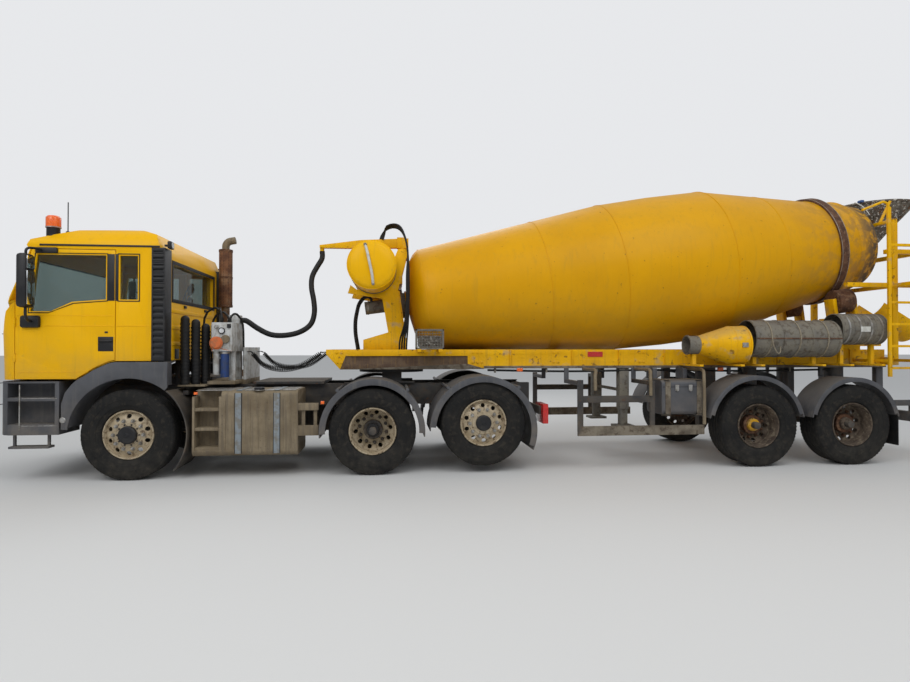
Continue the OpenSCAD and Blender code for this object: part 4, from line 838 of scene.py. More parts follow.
def rim_piece(width, profile, make):
    """Rim barrel with its flanges, and a disc with round holes.

    profile lists (along, radius) of the disc, outwards negative.
    """
    half = width / 2 - 0.045
    barrel = [(-half - 0.006, RIM_R - 0.004), (-half - 0.01, RIM_R - 0.01), (-half - 0.006, RIM_R - 0.018),
              (-half + 0.012, RIM_R - 0.02), (-half + 0.03, RIM_R - 0.028), (-0.04, RIM_R - 0.036),
              (half - 0.03, RIM_R - 0.028), (half, RIM_R - 0.018), (half + 0.006, RIM_R - 0.004),
              (half - 0.01, RIM_R + 0.0015), (-half + 0.01, RIM_R + 0.0015)]
    shell = spun(barrel, ORIGIN, Y_AXIS, BARREL_STEPS)
    face = spun(profile, ORIGIN, Y_AXIS, DISC_STEPS)
    y = sum(a for a, r in profile) / len(profile)
    hole = rod((0, y - 0.12, HOLE_CIRCLE), (0, y + 0.12, HOLE_CIRCLE), 0.026, 20)
    cut(face, joined("cutters", copies(hole, turned(NUTS)), 0))
    return [paint_with(shell, make), paint_with(smooth(face), make)]


def dished(outer_y, inner_y, thick=0.014):
    """Disc profile from the barrel at outer_y to the nut face at inner_y."""
    rise = inner_y - outer_y
    face = [(outer_y, 0.262), (outer_y + 0.12 * rise, 0.245), (outer_y + 0.5 * rise, 0.215),
            (outer_y + 0.88 * rise, 0.19), (inner_y, 0.18), (inner_y, 0.1)]
    return face + [(a + thick, r) for a, r in reversed(face)]


def hub(y, depth, radius, cap_radius, cap_depth, make, cap_make):
    """Hub drum with a stepped cap."""
    top = y - depth - 0.006
    tip = top - cap_depth
    base = [(y + 0.03, 0.0), (y + 0.03, radius), (y - depth, radius), (top, radius - 0.006), (top, 0.0)]
    cap = [(top + 0.002, 0.0), (top + 0.002, cap_radius), (tip + 0.01, cap_radius - 0.004),
           (tip, cap_radius - 0.016), (tip, 0.026), (tip - 0.006, 0.02), (tip - 0.006, 0.0)]
    return [paint_with(spun(base, ORIGIN, Y_AXIS, 48, closed=False), make),
            paint_with(spun(cap, ORIGIN, Y_AXIS, 40, closed=False), cap_make)]


def tractor_wheel(outer_y, inner_y):
    """Tyre on a cream rim whose disc runs from the barrel to the nut face."""
    return flat([tyre_piece(TYRE_W, 64), rim_piece(TYRE_W, dished(outer_y, inner_y), "cream_rim")])


def steer_wheel_parts():
    """Convex cream disc, ten nuts and a black hub."""
    return [tractor_wheel(-0.07, -0.112), nuts(NUT_CIRCLE, -0.112, "bare_metal"),
            hub(-0.105, 0.01, 0.14, 0.105, 0.048, "cream_rim", "black_plastic"),
            nuts(0.122, -0.121, "chassis_black", 0.018, 0.01, 0.004)]


def tag_wheel_parts():
    """Convex cream disc with a flat black hub face and its own nuts."""
    return [tractor_wheel(-0.07, -0.112), nuts(NUT_CIRCLE, -0.112, "bare_metal"),
            hub(-0.105, 0.012, 0.142, 0.098, 0.034, "cream_rim", "black_plastic")]


def drive_wheel_parts():
    """Twin tyres; the outer disc lies deep in its barrel."""
    outer, inner = tractor_wheel(0.06, 0.125), tractor_wheel(-0.08, -0.15)
    for piece in inner:
        piece.data.transform(Matrix.Translation((0, TYRE_W + TWIN_GAP, 0)))
    return [outer, inner, nuts(NUT_CIRCLE, 0.12, "chassis_black"),
            hub(0.115, 0.06, 0.118, 0.082, 0.075, "chassis_black", "black_plastic"),
            nuts(0.1, 0.049, "chassis_black", 0.02, 0.012, 0.005)]


def trailer_wheel_parts(cap):
    """Wide single tyre on a deep rusty rim."""
    return [tyre_piece(WIDE_W, 72), rim_piece(WIDE_W, dished(0.02, 0.06), "rusty_rim"),
            nuts(NUT_CIRCLE, 0.056, "rust_brown"), hub(0.05, 0.06, 0.125, 0.084, 0.04, "rust_brown", cap)]


def place_wheel(parts, x, z, width, node):
    """Copies a wheel to both sides, turned so that its outer side faces out."""
    pattern = joined("pattern", parts, 0)
    for side in SIDES:
        name = f"{node}_{SIDE_NAMES[side]}"
        turn = Matrix.Rotation(0 if side == LEFT else math.pi, 4, "Z")
        spin = Matrix.Rotation(math.radians(TURN_PER_METRE * x), 4, "Y")
        place = Matrix.Translation(spot(x, side * (HALF_TRACK - width / 2), z))
        copy = pattern.copy()
        copy.data = pattern.data.copy()
        copy.data.transform(place @ turn @ spin)
        bpy.context.collection.objects.link(copy)
        copy.name = copy.data.name = name + "_dress"
        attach(smooth(copy), body_of_node(name))
        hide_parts(name)
    bpy.data.objects.remove(pattern)


class LORRY_OT_wheels(bpy.types.Operator):
    """Tyres, rims, nuts and hubs of all ten wheels"""

    bl_idname = "lorry.wheels"
    bl_label = "Wheels"

    def execute(self, context):
        place_wheel(steer_wheel_parts(), 0, TYRE_R, TYRE_W, "wheel_front")
        place_wheel(drive_wheel_parts(), DRIVE_X, TYRE_R, TYRE_W, "wheel_drive")
        place_wheel(tag_wheel_parts(), TAG_X, TAG_Z, TYRE_W, "wheel_tag")
        for i, (x, cap) in enumerate(zip(TRAILER_XS, ("worn_yellow", "rusty_rim"))):
            place_wheel(trailer_wheel_parts(cap), x, TYRE_R, WIDE_W, f"wheel_trailer{i + 1}")
        return {"FINISHED"}


# Shorthand for fittings: make names a finish, and places are (station, side, height)

def lump(make, low, high, width=0.003):
    """Block between two corners, in any order."""
    low, high = (spot(*[end(pair) for pair in zip(low, high)]) for end in (min, max))
    return paint_with(box(low, high, width), make)


def on_side(side, *points):
    """Points given for the right side, on either side."""
    return [(x, side * y, z) for x, y, z in points]


def blocks(side, *rows):
    """Blocks on a side, from rows of finish, edge rounding and two corners."""
    return [lump(make, *on_side(side, low, high), width) for make, width, low, high in rows]


def skins(side, plane, sink, *rows):
    """Thin plates on a side's face, from rows of finish, rounding, rise and two corners (station, height)."""
    return [lump(make, (x0, side * (plane - sink), z0), (x1, side * (plane + rise), z1), width)
            for make, width, rise, (x0, z0), (x1, z1) in rows]


def bar(make, start, end, radius, sides=16, width=0.0):
    return paint_with(rod(spot(*start), spot(*end), radius, sides, width), make)


def hose(make, points, radius, sides=10, turns=4):
    return paint_with(smooth(tube([spot(*p) for p in points], radius, sides, turns=turns), 60), make)


def hoop(make, centre, axis, radius, thick, wide, steps=40):
    """Flat band round an axis."""
    half = wide / 2
    ring = [(-half, radius), (-half, radius + thick), (half, radius + thick), (half, radius)]
    return paint_with(spun(ring, spot(*centre), axis, steps), make)


def disc(make, centre, axis, radius, depth, edge=0.006, steps=32):
    """Round cap with a softened rim."""
    profile = [(0, 0), (0, radius), (depth - edge, radius), (depth, radius - edge), (depth, 0)]
    return paint_with(spun(profile, spot(*centre), axis, steps, closed=False), make)


def window_seal(outline, y0, y1, wide):
    """Rubber frame round a window outline of stations and heights."""
    middle = [sum(values) / len(outline) for values in zip(*outline)]

    def grown(by):
        return [[c + math.copysign(by, c - m) for c, m in zip(point, middle)] for point in outline]
    over = math.copysign(CUT_OVER, y1 - y0)
    ring = cut(side_plate(grown(wide), y0, y1), side_plate(grown(SEAL_GAP), y0 - over, y1 + over))
    return paint_with(rounded(ring, 0.003), "black_rubber")


def screen_seal(outer, inner, width, place):
    """Rubber frame of a flat screen. outer and inner list x, half width, half height and depth."""
    corners = ((-1, -1), (1, -1), (1, 1), (-1, 1))
    plates = [plate([place(x, y * half, z * height) for y, z in corners], (depth, 0, 0))
              for x, half, height, depth in (outer, inner)]
    return paint_with(rounded(cut(*plates), width), "black_rubber")


# Window openings of the cab, as (station, height); the windscreen's middle and lean
DOOR_WINDOW = ((-1.06, 1.95), (-0.85, 1.95), (-0.62, 2.06), (-0.25, 2.09), (-0.25, 2.6), (-0.935, 2.6),
               (-1.06, 2.34))
SIDE_WINDOW = ((-0.1, 2.09), (0.1, 2.09), (0.1, 2.6), (-0.1, 2.6))
REAR_WINDOW_Z = 2.345
SEAL_GAP, CUT_OVER = 0.012, 0.02
SCREEN_MIDDLE, SCREEN_LEAN = (-1.17, 0, 2.195), math.atan(320 / 910)
MIRROR_BLOCKS = (("black_plastic", 0.036, (-1.07, 1.318, 1.978), (-0.955, 1.5, 2.578)),
                 ("mirror_glass", 0.003, (-0.958, 1.338, 2.01), (-0.95, 1.48, 2.385)),
                 ("mirror_glass", 0.003, (-0.958, 1.338, 2.41), (-0.95, 1.48, 2.55)),
                 ("black_plastic", 0.026, (-1.16, 1.2, 1.76), (-0.95, 1.262, 1.9)),
                 ("black_plastic", 0.018, (-1.01, 1.2, 2.612), (-0.77, 1.246, 2.68)))
MIRROR_ARMS = (
    (0.015, (-1.04, 1.24, 1.84), (-1.02, 1.33, 1.838), (-1.01, 1.395, 1.87), (-1.01, 1.405, 2.0)),
    (0.014, (-0.93, 1.225, 2.648), (-0.975, 1.33, 2.652), (-1.005, 1.398, 2.63), (-1.01, 1.405, 2.56)))
SEAT_Y, CUSHION_CUTS = 0.66, 11
# Columns: name, corners about the seat's middle, swell, channels as (axis, place, depth), tilt, hinge
CUSHIONS = (("seat_cushion_", (-0.55, -0.26, 1.565), (-0.05, 0.26, 1.695), 0.55,
             ((1, 0.3, 0.1), (1, -0.3, 0.1)), 0, (0, 0, 0)),
            ("seat_back_", (-0.105, -0.255, 1.71), (0.015, 0.255, 2.3), 0.55,
             ((1, 0.3, 0.12), (1, -0.3, 0.12), (2, 0.1, 0.12)), 12, (-0.11, 0, 1.69)),
            ("head_rest_", (0.025, -0.115, 2.305), (0.105, 0.115, 2.49), 0.5, (), 12, (0.02, 0, 2.3)))
# Pieces that lean with the pillar. Columns: node, finish and slot, edge rounding
LEANED_NODES = (("cab_shell", "yellow_paint", 0.01), ("cab_glass", "window_glass", 0.0),
                ("door_left", "yellow_paint", 0.006), ("door_right", "yellow_paint", 0.006),
                ("door_glass_left", "window_glass", 0.0), ("door_glass_right", "window_glass", 0.0))
# How far corners of the cab's front pillar move, by their (station, height)
PILLAR_MOVES = {(-1.225, 1.98): (0.0, 0.07), (-0.985, 2.66): (-0.065, 0.004), (-1.06, 1.95): (-0.01, 0.0),
                (-1.06, 2.34): (0.03, 0.0), (-0.935, 2.6): (-0.06, 0.0)}
PILLAR_Y, CORNER_REACH = 1.02, 0.04
# The plain solids' windscreen: station and height of its foot, and stations gained per height
SCREEN_FOOT_X, SCREEN_FOOT_Z, SCREEN_RISE = -1.33, 1.74, 0.3516
# Height of the windscreen's top, and the stations from which and at which the roof moves with it
SCREEN_TOP_Z, ROOF_START_X, ROOF_FRONT_X = 2.7, -0.6, -0.95
# How far its foot and top move forwards, and how far the roof's front falls
FOOT_SHIFT, TOP_SHIFT, ROOF_FALL = 0.04, 0.165, 0.05
# How far behind the windscreen's plane a place moves with it: beside the doors, and elsewhere
DOOR_DEPTH, SCREEN_DEPTH = 0.03, 0.1


def on_screen(piece):
    """Puts a piece made upright at the origin, facing -X, onto the windscreen."""
    piece.data.transform(Matrix.Translation(spot(*SCREEN_MIDDLE)) @ Matrix.Rotation(SCREEN_LEAN, 4, "Y"))
    return piece


def share(value, start, end):
    """0 up to start, 1 from end on."""
    return min(max((value - start) / (end - start), 0.0), 1.0)


def leaned(piece):
    """Sets the windscreen steeper and the roof's front lower than in the plain solids."""
    for vertex in piece.data.vertices:
        x, z, y = vertex.co.x + MIDDLE, vertex.co.z, abs(vertex.co.y)
        corner = min(PILLAR_MOVES, key=lambda c: math.hypot(x - c[0], z - c[1]))
        if y > PILLAR_Y and math.hypot(x - corner[0], z - corner[1]) < CORNER_REACH:
            vertex.co.x += PILLAR_MOVES[corner][0]
            vertex.co.z += PILLAR_MOVES[corner][1]
            continue
        behind = x - SCREEN_FOOT_X - max(0.0, SCREEN_RISE * (z - SCREEN_FOOT_Z))
        roof = share(x, ROOF_START_X, ROOF_FRONT_X)
        depth = DOOR_DEPTH if y > PILLAR_Y and z < 2.3 else SCREEN_DEPTH
        if z < SCREEN_TOP_Z and behind < depth:
            reach = 1.0
        else:
            reach = roof if z > 2.62 else 0.0
        reach *= 1.0 - 0.45 * share(y, 0.8, 1.2) * share(z, 1.9, 2.6)
        shift = FOOT_SHIFT * share(z, 1.62, SCREEN_FOOT_Z) + TOP_SHIFT * share(z, SCREEN_FOOT_Z, 2.71)
        vertex.co.x -= reach * shift
        vertex.co.z -= ROOF_FALL * roof * share(z, SCREEN_TOP_Z, 2.83)
    return piece


def mirror_parts(side):
    """Tall rounded mirror with two panes on covered brackets."""
    return [blocks(side, *MIRROR_BLOCKS), [hose("black_plastic", on_side(side, *points), radius, 12, 8)
                                           for radius, *points in MIRROR_ARMS]]


def cab_side(side):
    """Gutter, painted black as the thin shadow under the roof's edge, pillar strip, side window seal, lamp
    and intake slats of one side of the cab.
    """
    slats = [("black_plastic", 0.003, (0.262, 1.205, 2.105 + 0.044 * i), (0.392, 1.222, 2.121 + 0.044 * i))
             for i in range(13)]
    return [window_seal(SIDE_WINDOW, side * 1.196, side * 1.2195, 0.024),
            disc("clear_lens", (0.446, side * 1.1, 2.745), X_AXIS, 0.036, 0.006, 0.003),
            # Raised gutter strip along the roof's edge, painted black as the roof edge's thin shadow: painted
            # shadow
            blocks(side, ("black_plastic", 0.004, (-0.97, CAB_HALF, 2.7), (0.345, 1.224, 2.722)),
                   ("black_plastic", 0.002, (-0.147, CAB_HALF, 2.075), (-0.112, 1.219, 2.615)),
                   ("black_plastic", 0.012, (0.4, 1.045, 2.7), (0.445, 1.155, 2.79)),
                   ("black_plastic", 0.003, (0.355, 1.088, 2.73), (0.405, 1.112, 2.755)),
                   ("yellow_paint", 0.003, (-0.14, CAB_HALF, 1.78), (0.243, 1.2185, 1.79)), *slats)]


def cab_front():
    """Windscreen seal, wipers and panel seams of the cab's front."""
    made = [on_screen(screen_seal((0.012, 1.06605, 0.436, -0.02), (0.04, 1.01455, 0.386, -0.08), 0.004,
                                  lambda x, y, z: Vector((x, y, z))))]
    for y in (-0.52, 0.3):
        arm = joined("arm", [rod((-0.03, y, -0.43), (-0.042, y + 0.36, -0.335), 0.007, 8),
                             rod((-0.03, y + 0.02, -0.365), (-0.03, y + 0.66, -0.325), 0.008, 6),
                             rod((0.0, y, -0.43), (-0.035, y, -0.43), 0.016, 12)])
        made.append(on_screen(paint_with(arm, "black_plastic")))
    rows = [("black_plastic", 0.001, (-1.4325, -half, z), (-1.4255, half, z + 0.007))
            for z, half in ((1.205, 1.0), (1.605, 1.05), (1.69, 1.06))]
    rows.append(("black_plastic", 0.004, (-1.436, -1.02, 1.625), (-1.426, 1.02, 1.672)))
    return made + blocks(RIGHT, *rows)


def cab_rear():
    """Window seal, swages, latches and hose openings of the cab's back."""
    rows = [("yellow_paint", 0.008, (0.352, -0.92, z), (0.369, 0.92, z + 0.05)) for z in (1.56, 1.76, 1.96)]
    for y in (-0.42, 0.42):
        rows.append(("black_plastic", 0.006, (0.356, y - 0.035, 2.04), (0.38, y + 0.035, 2.075)))
    for y in (-0.7, 0.7):
        rows.append(("black_plastic", 0.008, (0.355, y - 0.07, 1.395), (0.366, y + 0.07, 1.52)))
    return [screen_seal((0.357, 0.87975, 0.2565, 0.01), (0.34, 0.83725, 0.2115, 0.05), 0.003,
                        lambda x, y, z: spot(x, y, REAR_WINDOW_Z + z)), blocks(RIGHT, *rows)]


def door_fittings(side):
    """Window seal, pillar strip, creases, handle cup and lock of one door."""
    grip_y = side * (CAB_HALF + 0.01)
    feet = [("black_plastic", 0.004, (x - 0.01, CAB_HALF, 1.6), (x + 0.01, CAB_HALF + 0.016, 1.624))
            for x in (-0.318, -0.182)]
    return [window_seal(DOOR_WINDOW, side * (CAB_HALF - 0.018), side * (CAB_HALF + 0.0045), 0.022),
            bar("black_plastic", (-0.325, grip_y, 1.612), (-0.175, grip_y, 1.612), 0.013, 14, 0.004),
            blocks(side, *feet),
            skins(side, CAB_HALF, 0.004, ("black_plastic", 0.002, 0.004, (-0.232, 2.075), (-0.155, 2.615)),
                  ("yellow_paint", 0.003, 0.0035, (-1.215, 1.78), (-0.16, 1.79)),
                  ("yellow_paint", 0.003, 0.0035, (-1.215, 1.898), (-0.16, 1.906)),
                  ("black_plastic", 0.012, 0.003, (-0.334, 1.492), (-0.166, 1.66)),
                  ("yellow_paint", 0.003, 0.003, (-1.205, 1.25), (-0.44, 1.258)),
                  ("black_plastic", 0.008, 0.004, (-0.262, 1.7), (-0.225, 1.722)))]


def crowned(name, low, high, swell, channels, tilt, hinge):
    """Cushion between two corners: its faces swell, its corners pull in, and sewn channels cross it."""
    low, high = spot(*low), spot(*high)
    size, centre = high - low, (high + low) / 2
    deselect()
    bpy.ops.mesh.primitive_cube_add(size=1, location=ORIGIN, scale=(1, 1, 1))
    piece = settle(bpy.context.object)
    piece.name = piece.data.name = name
    bpy.ops.object.mode_set(mode="EDIT")
    bpy.ops.mesh.select_all(action="SELECT")
    bpy.ops.mesh.subdivide(number_cuts=CUSHION_CUTS)
    bpy.ops.object.mode_set(mode="OBJECT")
    for vertex in piece.data.vertices:
        u = [2 * c for c in vertex.co]
        full = [math.sqrt(max(0.0, (1 - u[(i + 1) % 3] ** 4) * (1 - u[(i + 2) % 3] ** 4))) for i in range(3)]
        place = Vector([0.5 * u[i] * (1 - swell * (1 - full[i])) * size[i] for i in range(3)])
        for axis, at, depth in channels:
            gap = abs(place[axis] - at * size[axis]) / CHANNEL_HALF
            if gap < 1:
                for i in {0, 1, 2} - {axis}:
                    place[i] *= 1 - depth * (1 - gap) ** 2
        vertex.co = place
    use(piece, "SUBSURF", levels=2, render_levels=2)
    if tilt:
        hinge = spot(*hinge) - centre
        piece.data.transform(Matrix.Translation(hinge) @ Matrix.Rotation(math.radians(tilt), 4, "Y")
                             @ Matrix.Translation(-hinge))
    piece.data.transform(Matrix.Translation(centre))
    return paint_with(smooth(piece, 60), "seat_cloth")


def seat(side):
    """Three padded pieces of one seat."""
    for name, low, high, *rest in CUSHIONS:
        low, high = ((x, side * SEAT_Y + off, z) for x, off, z in (low, high))
        cushion = crowned(name + SIDE_NAMES[side], low, high, *rest)
        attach(cushion, "cab")


def seat_base(side):
    """Base of one seat, and the posts of its head rest."""
    y = side * SEAT_Y
    return [lump("black_plastic", (-0.515, y - 0.25, 1.455), (-0.065, y + 0.25, 1.563), 0.02),
            [bar("bare_metal", (-0.02, y + off, 2.2), (0.055, y + off, 2.4), 0.007) for off in (-0.05, 0.05)]]


class LORRY_OT_cab(bpy.types.Operator):
    """Seals, trim, lamps, seats and mirrors of the cab and its doors"""

    bl_idname = "lorry.cab"
    bl_label = "Cab"

    def execute(self, context):
        for node, make, width in LEANED_NODES:
            leaned(dressed(node, make, make, width))
        leaned(fitted("cab_screen_trim", cab_front(), "cab", "black_plastic"))
        fitted("cab_trim", [cab_rear(), both(cab_side)], "cab", "black_plastic")
        dressed("beacon", "black_plastic", "amber_lens", 0.003,
                patches=[("amber_lens", (-1.0, -1.25, 2.934), (-0.79, -0.9, 3.1))],
                extras=[hoop("bare_metal", (-0.89, -1.09, 2.932), Z_AXIS, 0.076, 0.005, 0.01, 32),
                        disc("black_plastic", (-0.89, -1.09, 2.775), Z_AXIS, 0.069, 0.12),
                        disc("black_plastic", (-0.73, -1.09, 2.8), Z_AXIS, 0.022, 0.09)])
        for side, name in SIDE_NAMES.items():
            body = body_of_node("door_" + name)
            leaned(fitted("door_trim_" + name, door_fittings(side), body, "black_plastic"))
            fitted(f"mirror_{name}_dress", mirror_parts(side), body, "black_plastic", ("mirror_" + name,))
            seat(side)
        fitted("seat_bases", both(seat_base), "cab", "black_plastic", ("seats",))
        return {"FINISHED"}


def tank_fittings():
    """Pressed ribs, straps, filler cap and tread plates of the fuel tank."""
    rows = []
    for x in [1.085 + 0.095 * i for i in range(9)]:
        if min(abs(x - strap) for strap in STRAP_XS) > 0.05:
            rows.append(("tank_paint", 0.004, (x - 0.007, -1.236, 0.345), (x + 0.007, -1.226, 0.93)))
    for x in STRAP_XS:
        rows += [("strap_metal", 0.003, (x - 0.034, -1.237, 0.29), (x + 0.034, -1.228, 1.0)),
                 ("black_rubber", 0.001, (x - 0.042, -1.232, 0.29), (x + 0.042, -1.227, 1.0)),
                 ("strap_metal", 0.003, (x - 0.034, -1.2, 1.028), (x + 0.034, -0.64, 1.037))]
    rows += [("bare_metal", 0.001, (low, -1.19, 1.028), (high, -0.64, 1.0335)) for low, high in TREAD_SPANS]
    made = [disc("black_plastic", (1.466, -1.17, 1.03), Z_AXIS, 0.06, 0.034, 0.008),
            disc("bare_metal", (1.466, -1.17, 1.028), Z_AXIS, 0.072, 0.008, 0.002)] + blocks(RIGHT, *rows)
    for low, high in TREAD_SPANS:
        for i in range(int((high - low) / STUD_STEP)):
            for j in range(STUD_ROWS):
                x, y = low + 0.03 + STUD_STEP * i, -1.165 + STUD_ROW * j
                stud = box(spot(x - 0.015, y - 0.003, 1.033), spot(x + 0.015, y + 0.003, 1.0355), 0)
                turn = Matrix.Rotation(math.radians(45 if (i + j) % 2 else -45), 4, "Z")
                place = Matrix.Translation(spot(x, y, 0))
                stud.data.transform(place @ turn @ place.inverted())
                made.append(paint_with(stud, "bare_metal"))
    return made


def duct_rings():
    """Corrugations of the three intake ducts behind the cab."""
    ducts = ((0.505, -0.84, 1.88), (0.6, -0.74, 1.84), (0.69, -0.64, 1.79))
    return [hoop("black_rubber", (x, y, 1.105 + RING_STEP * i), Z_AXIS, 0.0505, 0.008, 0.02, 20)
            for x, y, top in ducts for i in range(int((top - 1.1) / RING_STEP))]


def pump_fittings():
    """Gauges, pipe stubs, bolts and clamps of the hydraulic unit."""
    made = [disc(make, place, OUT_LEFT, *sizes) for make, place, *sizes in (
        ("pump_orange", (0.865, -0.82, 1.592), 0.066, 0.018),
        ("black_plastic", (0.925, -0.781, 1.745), 0.04, 0.02),
        ("tank_paint", (0.97, -0.781, 1.64), 0.052, 0.028),
        ("clear_lens", (0.925, -0.8, 1.745), 0.03, 0.004, 0.002),
        ("bare_metal", (0.86, -0.781, 1.795), 0.022, 0.03))]
    made += [hoop("bare_metal", (0.865, -0.8, 1.592), Y_AXIS, 0.079, 0.004, 0.014, 32),
             hoop("bare_metal", (0.845, -0.73, 1.47), Z_AXIS, 0.0375, 0.006, 0.024, 24),
             hoop("bare_metal", (0.945, -0.715, 1.47), Z_AXIS, 0.0515, 0.006, 0.024, 28),
             lump("black_plastic", (0.99, -0.8, 1.78), (1.035, -0.778, 1.83), 0.005)]
    for (x0, y0, z0), (x1, y1, z1), high in (((0.87, -0.6, 1.85), (0.74, -0.3, 1.4), 2.02),
                                             ((0.93, -0.5, 1.85), (0.7, -0.42, 1.35), 1.99),
                                             ((0.99, -0.62, 1.85), (1.1, -0.4, 1.3), 1.96),
                                             ((0.84, -0.45, 1.85), (0.6, -0.38, 1.25), 2.05)):
        made.append(hose("black_rubber", [(x0, y0, z0), (x0, y0, z0 + 0.07),
                                          ((x0 + x1) / 2, (y0 + y1) / 2, high),
                                          (x1, y1, z1 + 0.2), (x1, y1, z1)], 0.014, 8, 6))
    return made


def bumper_side(side):
    """Bright step edges, tread strips, lock and tow cover of one side of the bumper."""
    rows = [("bare_metal", 0.003, (-1.172, 1.2305, 0.6), (-1.158, 1.222, 1.11)),
            ("chassis_black", 0.003, (-1.435, 0.775, 0.575), (-1.428, 0.995, 0.615))]
    for z in (0.64, 0.952):
        rows.append(("bare_metal", 0.002, (-1.145, 1.2255, z), (-0.765, 1.15, z + 0.009)))
        rows += [("black_plastic", 0.001, (x, 1.2255, z + 0.008), (x + 0.03, 1.15, z + 0.0125))
                 for x in [-1.12 + 0.064 * i for i in range(6)]]
    return [disc("bare_metal", (-0.7, side * 1.234, 0.707), (0, side, 0), 0.034, 0.012), blocks(side, *rows)]


class LORRY_OT_tractor(bpy.types.Operator):
    """Tank ribs and straps, hydraulic unit, exhaust, lamps and bumper trim"""

    bl_idname = "lorry.tractor"
    bl_label = "Tractor"

    def execute(self, context):
        dressed("tractor_lamps", "red_lens", "lamp_lens", 0.006,
                patches=[("clear_lens", (-1.5, -1.1, 0.5), (-1.3, 1.1, 0.9)),
                         ("chassis_black", (4.8, -1.14, 0.65), (4.899, 1.14, 0.85))])
        dressed("fuel_tank", "tank_paint", "beige_paint", 0.006, extras=tank_fittings())
        dressed("exhaust", "exhaust_steel", "exhaust_rust", 0.005,
                patches=[("perforated_rust", (0.38, 0.83, 2.13), (0.64, 1.09, 3.035)),
                         ("tank_paint", (0.38, 0.83, 3.036), (0.8, 1.09, 3.3))],
                extras=[hoop("rust_brown", (0.505, 0.96, z), Z_AXIS, 0.0975, 0.005, 0.03, 40)
                        for z in (2.17, 2.6, 3.01)])
        dressed("hydraulic_unit", "pump_white", "grey_metal", 0.008,
                patches=[("pump_orange", (0.78, -0.83, 1.51), (0.95, -0.775, 1.68)),
                         ("filter_blue", (0.885, -0.78, 1.162), (1.005, -0.655, 1.488)),
                         ("black_rubber", (0.44, -0.905, 1.081), (0.765, -0.57, 1.96)),
                         ("tank_paint", (0.44, -0.95, 1.04), (1.14, 0.0, 1.16))],
                extras=[duct_rings(), pump_fittings()])
        rows = [("black_plastic", 0.001, (-1.4335, -1.16, z), (-1.4265, 1.16, z + 0.008))
                for z in (0.88, 1.125)]
        rows.append(("bare_metal", 0.002, (-1.1, -0.13, 0.66), (-1.0, 0.13, 0.67)))
        fitted("bumper_trim", [blocks(RIGHT, *rows), both(bumper_side)], "tractor", "grey_metal")
        return {"FINISHED"}


def on_axis(s):
    """Place of a point on the drum's axis."""
    return (DRUM_X + s * DRUM_AXIS[0], 0, DRUM_Z + s * DRUM_AXIS[2])


def rail_side(side):
    """Reflector, lamps, bolt heads and ribs on one side of the trailer's rail."""
    bolts = (2.32, 2.38, 4.1, 4.16, 4.22, 5.2, 5.26, 6.4, 6.46, 8.3, 8.36, 9.7, 9.76)
    ribs = [("worn_yellow", 0.002, 0.022, (x, 1.292), (x + 0.012, 1.508))
            for x in (4.6, 5.45, 6.1, 6.75, 7.2, 8.4, 9.5)]
    return [skins(side, FRAME_HALF, 0.002, ("red_lens", 0.002, 0.006, (5.67, 1.41), (5.88, 1.48)),
                  ("amber_lens", 0.008, 0.03, (4.69, 1.215), (4.77, 1.262)),
                  ("amber_lens", 0.008, 0.03, (7.52, 1.215), (7.6, 1.262)),
                  ("sight_white", 0.002, 0.005, (8.95, 1.4), (9.06, 1.45)), *ribs),
            [disc("worn_yellow", (x, side * FRAME_HALF, z), (0, side, 0), 0.015, 0.012, 0.003, 6)
             for x in bolts for z in (1.34, 1.47)]]


def mesh_box():
    """Wire box beside the pedestal, with a lump of concrete and two brackets."""
    (x0, y0, z0), (x1, y1, z1), bar_w = (3.33, -0.9, 1.515), (3.69, -0.745, 1.77), 0.022
    rows = [("grey_paint", 0.003, (x, y, z0), (x + bar_w, y + bar_w, z1)) for x in (x0, x1 - bar_w)
            for y in (y0, y1 - bar_w)]
    for z in (z0, z1 - bar_w):
        rows += [("grey_paint", 0.003, (x0, y0, z), (x1, y0 + bar_w, z + bar_w)),
                 ("grey_paint", 0.003, (x0, y1 - bar_w, z), (x1, y1, z + bar_w))]
    for x in [x0 + WIRE_STEP * (i + 0.5) for i in range(11)]:
        rows.append(("grey_paint", 0, (x - 0.003, y0 + 0.008, z0), (x + 0.003, y0 + 0.014, z1)))
    for z in [z0 + WIRE_STEP * (i + 1) for i in range(7)]:
        rows.append(("grey_paint", 0, (x0, y0 + 0.006, z - 0.003), (x1, y0 + 0.012, z + 0.003)))
    return blocks(RIGHT, ("cement_crust", 0.03, (3.36, -0.865, 1.535), (3.66, -0.775, 1.69)),
                  ("worn_yellow", 0.003, (3.35, -0.9, 1.48), (3.4, -0.56, 1.517)),
                  ("worn_yellow", 0.003, (3.62, -0.9, 1.48), (3.67, -0.56, 1.517)), *rows)


def frame_fittings():
    """Rail trim, a cable with its clips, and the mesh box of the trailer's frame."""
    clips = [("grey_paint", 0.003, (x - 0.012, -0.606, 1.2), (x + 0.012, -0.565, 1.262))
             for x in (4.4, 5.1, 5.8, 6.5, 7.2, 7.9, 8.6, 9.3)]
    cable = hose("black_rubber", [(4.3, -0.585, 1.235), (5.4, -0.59, 1.215), (6.6, -0.588, 1.228),
                                  (7.9, -0.59, 1.212), (9.4, -0.588, 1.23)], 0.014, 8, 10)
    return [both(rail_side), cable, blocks(RIGHT, *clips), mesh_box()]


